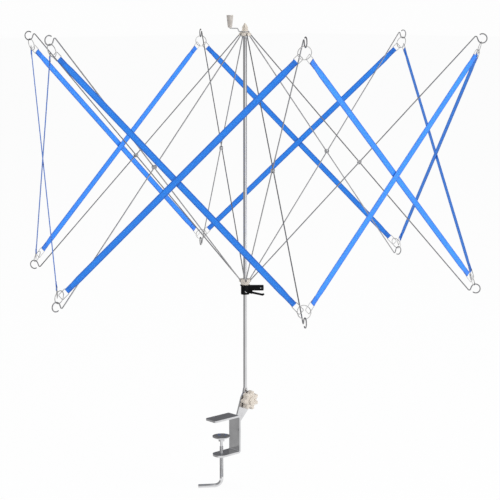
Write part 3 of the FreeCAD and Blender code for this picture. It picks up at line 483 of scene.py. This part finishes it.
tone = two_tone(plate, clouds, (0.62, 0.62, 0.63), (0.70, 0.70, 0.71))
colour_and_gloss(plate, shader, tone, rough)
add_bump(plate, shader, fine, 0.000005, 0.1)
finish_piece(screw, "threaded_screw", plate, "clamp_screw", 40)
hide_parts("clamp_screw")
dress("clamp_pad", plate)
dress("pivot_bolt", plate)


# Rod: 6 mm drawn bar, its foot forged flat and drilled for the pivot bolt, with a pressed ring
# near the top that carries the upper hub. Plated bright; the drawing left fine lengthwise lines.
up = Vector((0, 0, 1))
pivot = Vector((0.052, 0, 0.024))
rod_top = 0.61869
flat_top = 0.0195
flat_full = 0.0135
flat_shoulder = 0.0185
flat_foot = 0.0023
foot_half_thick = 0.002
foot_half_wide = 0.00658
foot_round = 0.007
bolt_bore = 0.00305
stop_ring = (0.6087, 0.6112)
stop_radius = 0.0055
rod_round = 0.0005
rod_round_share = 0.86
foot_into_eye = 0.94
foot_spread = 1.02
forge_steps = 8
forged_edge = 0.0003


def add_disc(vertices, radius, thick, place, on_edge):
    """A round disc; when it stands on edge, its axis lies along Y."""
    bpy.ops.object.select_all(action="DESELECT")
    bpy.ops.mesh.primitive_cylinder_add(
        vertices=vertices,
        radius=radius,
        depth=thick,
        location=place,
        rotation=(math.radians(90 if on_edge else 0), 0, 0),
    )
    apply_place(bpy.context.object)
    return bpy.context.object


def round_edges(piece, width, segments, angle):
    """Round every edge that is sharper than an angle in degrees."""
    edge = piece.modifiers.new("edge", "BEVEL")
    edge.width = width
    edge.segments = segments
    edge.angle_limit = math.radians(angle)
    bpy.context.view_layer.objects.active = piece
    bpy.ops.object.modifier_apply(modifier="edge")


def forged(step):
    """How thick the foot is after a step, as a share of the bar."""
    return 1 - (1 - pressed) * (1 - math.cos(math.pi * step / forge_steps)) / 2


at, heading = Vector((pivot.x, 0, rod_top)), down
rod = begin(36, bar_radius * rod_round_share, at, (0, 0, 0))
at, heading = taper(at, heading, rod_round, 1 / rod_round_share)
at, heading = straight(at, heading, at.z - pivot.z - flat_top)
pressed = foot_into_eye * foot_half_thick / bar_radius
for step in range(forge_steps):
    at, heading = straight(at, heading, (flat_top - flat_full) / forge_steps)
    flatter = forged(step + 1) / forged(step)
    bpy.ops.transform.resize(value=(foot_spread, flatter, 1), center_override=at)
close_ends()

bpy.ops.object.select_all(action="DESELECT")
neck_height = flat_shoulder - flat_foot
bpy.ops.mesh.primitive_cube_add(size=1, location=pivot + up * (flat_foot + neck_height / 2))
neck = bpy.context.object
neck.scale = (foot_half_wide * 2, foot_half_thick * 2, neck_height)
apply_place(neck)
bpy.ops.object.mode_set(mode="EDIT")
bpy.ops.mesh.select_all(action="DESELECT")
bpy.ops.object.mode_set(mode="OBJECT")
for face in neck.data.polygons:
    face.select = face.normal.z > 0.9
bpy.ops.object.mode_set(mode="EDIT")
bpy.ops.transform.resize(value=(bar_radius / foot_half_wide, 1, 1), center_override=pivot)
bpy.ops.object.mode_set(mode="OBJECT")

foot_eye = add_disc(48, foot_round, foot_half_thick * 2, pivot, True)
for face in foot_eye.data.polygons:
    face.select = abs(face.normal.y) > 0.9
bpy.ops.object.mode_set(mode="EDIT")
bpy.ops.mesh.inset(thickness=foot_round - bolt_bore)
bpy.ops.mesh.bridge_edge_loops()
bpy.ops.object.mode_set(mode="OBJECT")

stop_middle = (pivot.x, 0, sum(stop_ring) / 2)
collar = add_disc(48, stop_radius, stop_ring[1] - stop_ring[0], stop_middle, False)
for part in (foot_eye, collar, neck):
    round_edges(part, forged_edge, 3, 50)
join_pieces(rod, foot_eye, collar, neck)
bright_bar, shader, where = new_material("bright_drawn_bar", 1)
clouds = add_grain(bright_bar, where, (1, 1, 0.3), 60, 0, 1)
rough = add_grain(bright_bar, where, (60, 60, 1), 18, 0.12, 0.2)
tone = two_tone(bright_bar, clouds, (0.60, 0.60, 0.61), (0.68, 0.68, 0.69))
colour_and_gloss(bright_bar, shader, tone, rough)
finish_piece(rod, "drawn_rod", bright_bar, "rod", 40)
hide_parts("rod")


# Knob, hubs and grip: injection moulded in ivory plastic, with a fine eroded skin from the
# mould, a slightly cloudy colour and a dull gloss.
def mould_ivory(name, dark, light):
    """Ivory plastic between two tones."""
    material, shader, where = new_material(name, 0)
    clouds = add_grain(material, where, (1, 1, 1), 120, 0, 1)
    rough = add_grain(material, where, (1, 1, 1), 260, 0.36, 0.46)
    skin = add_grain(material, where, (1, 1, 1), 2600, 0, 1, 2)
    tone = two_tone(material, clouds, dark, light)
    colour_and_gloss(material, shader, tone, rough)
    add_bump(material, shader, skin, 0.00001, 0.2)
    return material


ivory = mould_ivory("ivory_moulding", (0.60, 0.54, 0.47), (0.65, 0.59, 0.52))
for node in ("knob", "upper_hub", "lower_hub"):
    dress(node, ivory)
# Painted shade: the crank's grip is the same ivory, given a darker colour that stands in for
# shade.
ivory_painted_darker = mould_ivory("ivory_painted_darker", (0.40, 0.365, 0.335), (0.50, 0.46, 0.42))
dress("crank_grip", ivory_painted_darker)


# Locking clip: black plastic, moulded with the same eroded skin but almost without gloss, and
# greyed a little where thumbs rub it. A small wire spring and a rivet head show on it.
black, shader, where = new_material("black_moulding", 0)
shader.inputs["Specular IOR Level"].default_value = 0.08
rub = add_grain(black, where, (1, 1, 1), 180, 0, 1)
rough = add_grain(black, where, (1, 1, 1), 300, 0.3, 0.48)
skin = add_grain(black, where, (1, 1, 1), 2200, 0, 1, 2)
tone = two_tone(black, rub, (0.002, 0.002, 0.002), (0.006, 0.006, 0.007))
colour_and_gloss(black, shader, tone, rough)
add_bump(black, shader, skin, 0.00001, 0.2)
for node in ("clip_body", "clip_lever"):
    dress(node, black)

clip_turn = math.radians(-42.6)
clip_top = 0.21255
window_place = (0.0022, -0.00515, -0.0096)
spring_round = 0.0021
spring_start = math.radians(145)
spring_sweep = 150
spring_thin = 0.0004
spring_swell = 2
spring_steps = 12
rivet_place = (0.0250, -0.0029, -0.0049)
rivet_radius = 0.0007
rivet_high = 0.0003
rivet_dome = 0.0001
rivet_long = 1.7


def place_in_clip(piece):
    """Move a piece from the clip's own frame to the clip."""
    piece.location = (pivot.x, 0, clip_top)
    piece.rotation_euler = (0, 0, clip_turn)
    apply_place(piece)


def swollen(step):
    """How thick the spring is after a step, as a share of its ends."""
    return 1 + spring_swell * math.sin(math.pi * step / spring_steps)


# A bow of the clip's spring shows in the window, thickest in its middle
y_axis = Vector((0, 1, 0))
outward = Vector((math.cos(spring_start), 0, math.sin(spring_start)))
heading = Vector((-outward.z, 0, outward.x))
at = Vector(window_place) + outward * spring_round
spring = begin(12, spring_thin, at, (0, -spring_start, 0))
for step in range(spring_steps):
    at, heading = bend(at, heading, -spring_sweep / spring_steps, spring_round, y_axis, 1)
    size = swollen(step + 1) / swollen(step)
    bpy.ops.transform.resize(value=(size, size, size), center_override=at)
close_ends()
place_in_clip(spring)
finish_piece(spring, "clip_spring", plate, "clip_body", 50)

at = Vector(rivet_place)
rivet = begin(24, rivet_radius, at, (math.radians(90), 0, 0))
at, heading = straight(at, -y_axis, rivet_high)
for share in (0.9, 0.75):
    at, heading = taper(at, heading, rivet_dome, share)
close_ends()
bpy.ops.object.mode_set(mode="EDIT")
bpy.ops.mesh.select_all(action="SELECT")
bpy.ops.transform.resize(value=(1, 1, rivet_long), center_override=rivet_place)
bpy.ops.object.mode_set(mode="OBJECT")
place_in_clip(rivet)
finish_piece(rivet, "clip_rivet", zinc, "clip_body", 50)


# Wire ribs: twelve lengths of 1.8 mm drawn spring wire. Each is bent at the hub into a pin, and
# at its tip it turns sharply back and curls into an open eye. They cross in pairs.
rod_axis = Vector((pivot.x, 0, 0))
upper_level = 0.614
open_angle = math.radians(47.9)
inner_half = 0.266
rising_outer_half = 0.266
falling_outer_half = 0.262
lower_level = upper_level - 2 * inner_half * math.sin(open_angle)
pin_circle = 0.008
wire_radius = 0.0009
wire_offset = 0.001
wire_end = 0.0003
wire_end_share = 0.7
pin_bend = 0.0012
pin_reach = 0.0034
kink_bend = 0.002
eye_radius = 0.0069
eye_along = 0.0026
eye_side = 0.010
eye_end = 77
arms = 6
arm_step = 360 / arms

wire_steel, shader, where = new_material("drawn_wire", 1)
clouds = add_grain(wire_steel, where, (1, 1, 1), 45, 0, 1)
rough = add_grain(wire_steel, where, (1, 1, 1), 300, 0.2, 0.34)
tone = two_tone(wire_steel, clouds, (0.30, 0.30, 0.31), (0.42, 0.42, 0.43))
colour_and_gloss(wire_steel, shader, tone, rough)


def place_on_arm(piece, rising):
    """Move a rib's piece from its own straight frame to its place on the first arm."""
    lift = open_angle if rising else -open_angle
    height = lower_level if rising else upper_level
    aside = -wire_offset if rising else wire_offset
    piece.location = (rod_axis.x + pin_circle, aside, height)
    piece.rotation_euler = (0, -lift, 0)
    apply_place(piece)


def copies_round_rod(piece):
    """The piece and its five turned copies, each with its own mesh, in the order of the arms."""
    made = [piece]
    for number in range(1, arms):
        copy = piece.copy()
        copy.data = piece.data.copy()
        bpy.context.collection.objects.link(copy)
        turn = Matrix.Rotation(math.radians(arm_step * number), 4, "Z")
        copy.matrix_world = Matrix.Translation(rod_axis) @ turn @ Matrix.Translation(-rod_axis)
        apply_place(copy)
        made.append(copy)
    return made


def rib_reach(rising):
    """How far a rib goes on straight from its pin before it turns back for its eye."""
    return inner_half + (rising_outer_half if rising else falling_outer_half)


def bend_rib(rising):
    """Bend one rib along +X from its pin, which stands to one side; the eye is in the XZ plane."""
    way = 1 if rising else -1
    at = Vector((0, pin_reach * way, 0))
    heading = Vector((0, -way, 0))
    rib = begin(12, wire_radius, at, (math.radians(90), 0, 0))
    at, heading = straight(at, heading, pin_reach - pin_bend)
    at, heading = bend(at, heading, 90 * way, pin_bend, up, 6)
    offset = Vector((-eye_along, eye_side))
    swing = math.degrees(math.acos(eye_radius / offset.length))
    touch_turn = math.degrees(math.atan2(offset.y, offset.x)) + swing
    kink_turn = touch_turn + 90 - 360
    setback = kink_bend * math.tan(math.radians(abs(kink_turn)) / 2)
    shank = math.sqrt(offset.length ** 2 - eye_radius ** 2) - setback
    at, heading = straight(at, heading, rib_reach(rising) - setback - at.x)
    at, heading = bend(at, heading, -kink_turn * way, kink_bend, y_axis, 8)
    at, heading = straight(at, heading, shank)
    at, heading = bend(at, heading, -(eye_end + 360 - touch_turn) * way, eye_radius, y_axis, 36)
    taper(at, heading, wire_end, wire_end_share)
    close_ends()
    return rib


for rising in (True, False):
    hub = "lower" if rising else "upper"
    rib = bend_rib(rising)
    place_on_arm(rib, rising)
    for number, piece in enumerate(copies_round_rod(rib)):
        body = "rib_from_%s_hub_%d" % (hub, number + 1)
        finish_piece(piece, "wire_" + body, wire_steel, body, 50)
        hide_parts(body)


# Swivels: where two ribs cross, each is held in one half of a small round swivel, moulded in
# pale grey nylon. The halves turn face to face on a pin, whose spread head stands in a groove of
# the outer face.
nylon, shader, where = new_material("pale_nylon", 0)
clouds = add_grain(nylon, where, (1, 1, 1), 240, 0, 1)
rough = add_grain(nylon, where, (1, 1, 1), 400, 0.34, 0.46)
skin = add_grain(nylon, where, (1, 1, 1), 2600, 0, 1, 2)
tone = two_tone(nylon, clouds, (0.56, 0.555, 0.56), (0.64, 0.635, 0.64))
colour_and_gloss(nylon, shader, tone, rough)
add_bump(nylon, shader, skin, 0.00001, 0.2)
swivel_across = 0.0064
swivel_thick = 0.0026
swivel_gap = 0.00005
swivel_border = 0.0009
swivel_groove = swivel_border * 0.6
swivel_dish = 0.0004
swivel_rim = 0.0002
for rising in (True, False):
    hub = "lower" if rising else "upper"
    way = 1 if rising else -1
    inner_face = wire_offset - swivel_gap / 2
    middle = (inner_half, (inner_face - swivel_thick / 2) * way, 0)
    swivel = add_disc(32, swivel_across / 2, swivel_thick, middle, True)
    for face in swivel.data.polygons:
        face.select = face.normal.y * way < -0.9
    bpy.ops.object.mode_set(mode="EDIT")
    bpy.ops.mesh.inset(thickness=swivel_border)
    bpy.ops.mesh.extrude_region_move(TRANSFORM_OT_translate={"value": (0, swivel_dish * way, 0)})
    bpy.ops.mesh.inset(thickness=swivel_groove)
    bpy.ops.mesh.extrude_region_move(TRANSFORM_OT_translate={"value": (0, -swivel_dish * way, 0)})
    bpy.ops.object.mode_set(mode="OBJECT")
    round_edges(swivel, swivel_rim, 2, 60)
    place_on_arm(swivel, rising)
    for number, piece in enumerate(copies_round_rod(swivel)):
        body = "rib_from_%s_hub_%d" % (hub, number + 1)
        finish_piece(piece, "swivel_on_" + body, nylon, body, 30)
        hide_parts(body)


# Rings: one hangs in every eye. Each is a round of thin plated wire whose two ends butt together
# on the side away from the eye, where nothing pulls on them.
ring_radius = 0.0096
ring_wire = 0.0006
upper_ring_lean = math.radians(16.8)
lower_ring_lean = math.radians(21.7)
hang_gap = 0.00005
ring_joint = 3
bright_wire, shader, where = new_material("bright_thin_wire", 1)
clouds = add_grain(bright_wire, where, (1, 1, 1), 150, 0, 1)
rough = add_grain(bright_wire, where, (1, 1, 1), 500, 0.14, 0.26)
tone = two_tone(bright_wire, clouds, (0.60, 0.60, 0.60), (0.74, 0.73, 0.72))
colour_and_gloss(bright_wire, shader, tone, rough)


def ring_frame(rising, turn):
    """The ring's centre, the way it hangs, and the way along its own plane, at one arm."""
    lift = open_angle if rising else -open_angle
    lean = upper_ring_lean if rising else lower_ring_lean
    way = -1 if rising else 1
    along = Vector((math.cos(lift), 0, math.sin(lift)))
    inward = Vector((along.z, 0, -along.x)) * (1 if rising else -1)
    reach = rib_reach(rising) + eye_along
    eye = Vector((pin_circle, 0, lower_level if rising else upper_level))
    eye = eye + along * reach + inward * eye_side
    hang = Vector((-math.sin(lean), 0, math.cos(lean) * way))
    drop = eye_radius - wire_radius - ring_wire - hang_gap + ring_radius
    centre = eye + hang * drop + y_axis * (-wire_offset if rising else wire_offset)
    spin = Matrix.Rotation(turn, 3, "Z")
    return rod_axis + spin @ centre, spin @ hang, spin @ y_axis


for rising in (True, False):
    tip = "upper" if rising else "lower"
    centre, hang, side = ring_frame(rising, 0)
    ring = begin(10, ring_wire, (ring_radius, 0, 0), (math.radians(90), 0, 0))
    at, heading = Vector((ring_radius, 0, 0)), y_axis
    bend(at, heading, 360 - ring_joint, ring_radius, up, 60)
    close_ends()
    ring.matrix_world = Matrix.LocRotScale(
        centre, Matrix((hang, side, hang.cross(side))).transposed(), None
    )
    apply_place(ring)
    for number, piece in enumerate(copies_round_rod(ring)):
        node = "%s_ring_%d" % (tip, number + 1)
        finish_piece(piece, "bent_" + node, bright_wire, node, 60)
        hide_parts(node)


# Straps: twelve flat vinyl tapes, 8.3 mm wide at the hems and 9.8 mm beyond. At each end the tape
# goes round the bar of a wire link and is welded to itself over 11 mm. The links join it to the
# rings, the upper ones short, the lower ones long.
tape_wide = 0.0083
tape_full = 0.0098
tape_thick = 0.0005
tape_crown = 0.00016
tape_edge = 0.00012
link_wire = 0.0005
link_half = 0.00475
link_back = 0.0028
link_bend = 0.0013
upper_free = 0.0085
lower_free = 0.0135
lower_slack = 0.00665
upper_place = math.radians(46.6)
lower_place = math.radians(32.1)
bar_in_hem = 0.0014
stagger = -0.00024
bar_play = 0.00003
wrap_radius = link_wire + bar_play + tape_thick / 2
lap = 0.00027
lap_length = 0.0076
lap_overrun = 0.0005
throat_length = 0.003
ease = 8
ease_bend = 0.001
widen_from = 0.0125
widen_over = 0.012
widen_steps = 6
x_axis = Vector((1, 0, 0))
# Painted shade: the tape's colour is darkened along both edges, where the crowned tape turns away
# from the light.
edge_shade_limits = (tape_wide * 0.29, tape_wide * 0.40)
edge_painted_shade = (0.40, 0.58, 0.66)
# Painted shade: the tape's colour is darkened over the welded hem at each end.
hem_shade_limits = (0.0126, 0.0108)
hem_painted_shade = (0.75, 0.80, 0.86)

tape, shader, where = new_material("blue_vinyl_tape", 0)
shader.inputs["Specular IOR Level"].default_value = 0.82
tape_map = tape.node_tree.nodes.new("ShaderNodeUVMap")
tape_map.uv_map = "tape"
along_tape = tape_map.outputs["UV"]
cloth = add_grain(tape, along_tape, (1, 4, 1), 900, 0, 1, 3)
wear = add_grain(tape, along_tape, (1, 3, 1), 26, 0, 1)
rough = add_grain(tape, along_tape, (1, 4, 1), 160, 0.3, 0.44)
tone = two_tone(tape, wear, (0.001, 0.190, 0.79), (0.003, 0.230, 0.87))


def darken(material, factor, colour, share):
    """Multiply a colour by a darker one where a mask is 1."""
    node = material.node_tree.nodes.new("ShaderNodeMix")
    node.data_type = "RGBA"
    node.blend_type = "MULTIPLY"
    node.inputs["B"].default_value = (*share, 1)
    material.node_tree.links.new(colour, node.inputs["A"])
    material.node_tree.links.new(factor, node.inputs["Factor"])
    return node.outputs["Result"]


split = tape.node_tree.nodes.new("ShaderNodeSeparateXYZ")
aside = tape.node_tree.nodes.new("ShaderNodeMath")
aside.operation = "ABSOLUTE"
tape.node_tree.links.new(along_tape, split.inputs[0])
tape.node_tree.links.new(split.outputs["Y"], aside.inputs[0])
# Painted shade along both edges of the tape.
edge_shade_mask = ease_between(tape.node_tree, aside.outputs[0], edge_shade_limits)
# Painted shade over the hem at each end of the tape.
hem_shade_mask = ease_between(tape.node_tree, split.outputs["X"], hem_shade_limits)
tone = darken(tape, edge_shade_mask, tone, edge_painted_shade)
tone = darken(tape, hem_shade_mask, tone, hem_painted_shade)
colour_and_gloss(tape, shader, tone, rough)
add_bump(tape, shader, cloth, 0.00002, 0.15)


def begin_tape(at):
    """Start a tape with the line of its section, crowned a little in the middle."""
    bpy.ops.object.select_all(action="DESELECT")
    bpy.ops.mesh.primitive_grid_add(x_subdivisions=1, y_subdivisions=6, size=1, location=(0, 0, 0))
    piece = bpy.context.object
    bpy.ops.object.mode_set(mode="EDIT")
    bpy.ops.mesh.select_all(action="DESELECT")
    bpy.ops.object.mode_set(mode="OBJECT")
    for point in piece.data.vertices:
        point.select = point.co.x > 0
    bpy.ops.object.mode_set(mode="EDIT")
    bpy.ops.mesh.delete(type="VERT")
    bpy.ops.object.mode_set(mode="OBJECT")
    for point in piece.data.vertices:
        point.co.y *= tape_wide
        point.co.z = -tape_crown * (1 - (2 * point.co.y / tape_wide) ** 2)
        point.co.x = 0
        point.co += at
    bpy.ops.object.mode_set(mode="EDIT")
    bpy.ops.mesh.select_all(action="SELECT")
    return piece


def lay_half_tape(length):
    """Half a tape: a lap under it, round the link's bar, over the lap and on to the middle."""
    bar_at = bar_in_hem - length / 2
    reach = math.hypot(throat_length, lap)
    slope = math.degrees(math.asin(wrap_radius / reach) - math.asin(lap / reach))
    throat = math.sqrt(reach ** 2 - wrap_radius ** 2)
    at = Vector((bar_at + throat_length + lap_length, 0, -lap))
    piece = begin_tape(at)
    at, heading = straight(at, -x_axis, lap_length)
    at, heading = bend(at, heading, slope, ease_bend / 4, -y_axis, 2)
    at, heading = straight(at, heading, throat)
    at, heading = bend(at, heading, -180 - 2 * slope, wrap_radius, -y_axis, 16)
    at, heading = straight(at, heading, throat)
    at, heading = bend(at, heading, slope, ease_bend / 4, -y_axis, 2)
    at, heading = straight(at, heading, lap_length + lap_overrun)
    at, heading = bend(at, heading, -ease, ease_bend, -y_axis, 3)
    fall = at.z - ease_bend * (1 - math.cos(math.radians(ease)))
    at, heading = straight(at, heading, fall / math.sin(math.radians(ease)))
    at, heading = bend(at, heading, ease, ease_bend, -y_axis, 3)
    wider = (tape_full / tape_wide) ** (1 / widen_steps)
    for step in range(widen_steps):
        at, heading = straight(at, x_axis, widen_over / widen_steps)
        bpy.ops.transform.resize(value=(1, wider, 1), center_override=at)
    straight(at, x_axis, -at.x)
    bpy.ops.object.mode_set(mode="OBJECT")
    return piece


def finish_tape(piece, length):
    """Mirror the half, give the tape its thickness and soft edges, and map it from its ends."""
    mirror = piece.modifiers.new("mirror", "MIRROR")
    mirror.merge_threshold = 0.00002
    wall = piece.modifiers.new("wall", "SOLIDIFY")
    wall.thickness = tape_thick
    wall.offset = 0
    for modifier in ("mirror", "wall"):
        bpy.ops.object.modifier_apply(modifier=modifier)
    round_edges(piece, tape_edge, 2, 60)
    chart = piece.data.uv_layers.new(name="tape")
    for corner in piece.data.loops:
        point = piece.data.vertices[corner.vertex_index].co
        from_end = length / 2 - abs(point.x)
        spread = min(max((from_end - widen_from) / widen_over, 0), 1)
        narrow = (tape_wide / tape_full) ** spread
        chart.data[corner.index].uv = (from_end, point.y * narrow)


def bend_link(near_x, far_x):
    """One closed link in the strap's plane, from the middle of the bar that the tape holds."""
    side = link_half - link_bend
    long = far_x - near_x - 2 * link_bend
    butt = 0.00005
    at, heading = Vector((far_x, butt, 0)), y_axis
    link = begin(10, link_wire, at, (math.radians(90), 0, 0))
    for length in (side - butt, long, side * 2, long):
        at, heading = straight(at, heading, length)
        at, heading = bend(at, heading, 90, link_bend, up, 6)
    straight(at, heading, side - butt)
    close_ends()
    return link


def place_in_frame(piece, origin, along, normal, shift=0):
    """Move a strap's piece from its own frame to the first arm, shifted along the strap."""
    axes = Matrix((along, normal.cross(along), normal)).transposed()
    piece.matrix_world = Matrix.LocRotScale(origin + along * shift, axes, None)
    apply_place(piece)


for way in (1, -1):
    half_step = math.radians(arm_step / 2)
    sector = Vector((math.cos(half_step), math.sin(half_step) * way, 0))
    centre, hang, side = ring_frame(True, 0)
    spread = side * (way * math.cos(upper_place)) + hang * math.sin(upper_place)
    start_point = centre + spread * ring_radius
    centre, hang, side = ring_frame(False, math.radians(arm_step * way))
    spread = side * (-way * math.cos(lower_place)) + hang * math.sin(lower_place)
    along = centre + spread * ring_radius - start_point
    length = along.length
    along.normalize()
    normal = (sector - along * sector.dot(along)).normalized()
    origin = start_point + sector * (way * stagger)
    tape_start = upper_free + link_wire - link_back
    tape_end = length + lower_slack - lower_free
    strap = lay_half_tape(tape_end - tape_start)
    finish_tape(strap, tape_end - tape_start)
    place_in_frame(strap, origin, along, normal, (tape_start + tape_end) / 2)
    upper_link = bend_link(-link_back, tape_start + bar_in_hem)
    place_in_frame(upper_link, origin, along, normal)
    lower_link = bend_link(tape_end - bar_in_hem, length + lower_slack)
    place_in_frame(lower_link, origin, along, normal)
    straps = copies_round_rod(strap)
    upper_links = copies_round_rod(upper_link)
    lower_links = copies_round_rod(lower_link)
    for number in range(arms):
        pair = "%d_to_%d" % (number + 1, (number + way) % arms + 1)
        body = "strap_" + pair
        finish_piece(straps[number], "tape_" + pair, tape, body, 30)
        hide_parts(body)
        links = "strap_links_" + pair
        for piece, tip in ((upper_links[number], "upper"), (lower_links[number], "lower")):
            finish_piece(piece, "%s_link_%s" % (tip, pair), bright_wire, body, 60)
            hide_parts(links)


# Crank: one length of wire. It comes down inside the grip, runs level to the hub, steps down
# and is wound once round the groove under the cap, so that it turns the swift by hand.
crank_turn = math.radians(137.4)
crank_reach = 0.0237
crank_rise = 0.0086
crank_pin = 0.014
loop_radius = 0.0064
loop_rise = 0.0032
loop_turn = 318
crank_bend = 0.0018
step_slope = 66
step_out = wire_radius * 5.6
swerve = 0.002
at, heading = Vector((crank_reach, 0, crank_rise + crank_pin)), down
crank = begin(14, wire_radius, at, (0, 0, 0))
at, heading = straight(at, heading, crank_pin - pin_bend)
at, heading = bend(at, heading, 90, pin_bend, y_axis, 7)
step_top = loop_radius + step_out
step_set = crank_bend * math.tan(math.radians(step_slope) / 2)
at, heading = straight(at, heading, at.x - step_top - step_set)
at, heading = bend(at, heading, -step_slope, crank_bend, y_axis, 6)
step_long = (crank_rise - loop_rise) / math.sin(math.radians(step_slope)) - 2 * step_set
at, heading = straight(at, heading, step_long)
at, heading = bend(at, heading, step_slope, crank_bend, y_axis, 6)
turn_in = math.asin(swerve / (loop_radius + swerve))
swerve_at = (loop_radius + swerve) * math.cos(turn_in)
at, heading = straight(at, heading, at.x - swerve_at)
at, heading = bend(at, heading, math.degrees(turn_in) - 90, swerve, up, 6)
at, heading = bend(at, heading, loop_turn, loop_radius, up, 44)
taper(at, heading, wire_end, wire_end_share)
close_ends()
crank.location = (rod_axis.x, 0, upper_level)
crank.rotation_euler = (0, 0, crank_turn)
apply_place(crank)
finish_piece(crank, "bent_crank", bright_wire, "upper_hub", 50)
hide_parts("crank")
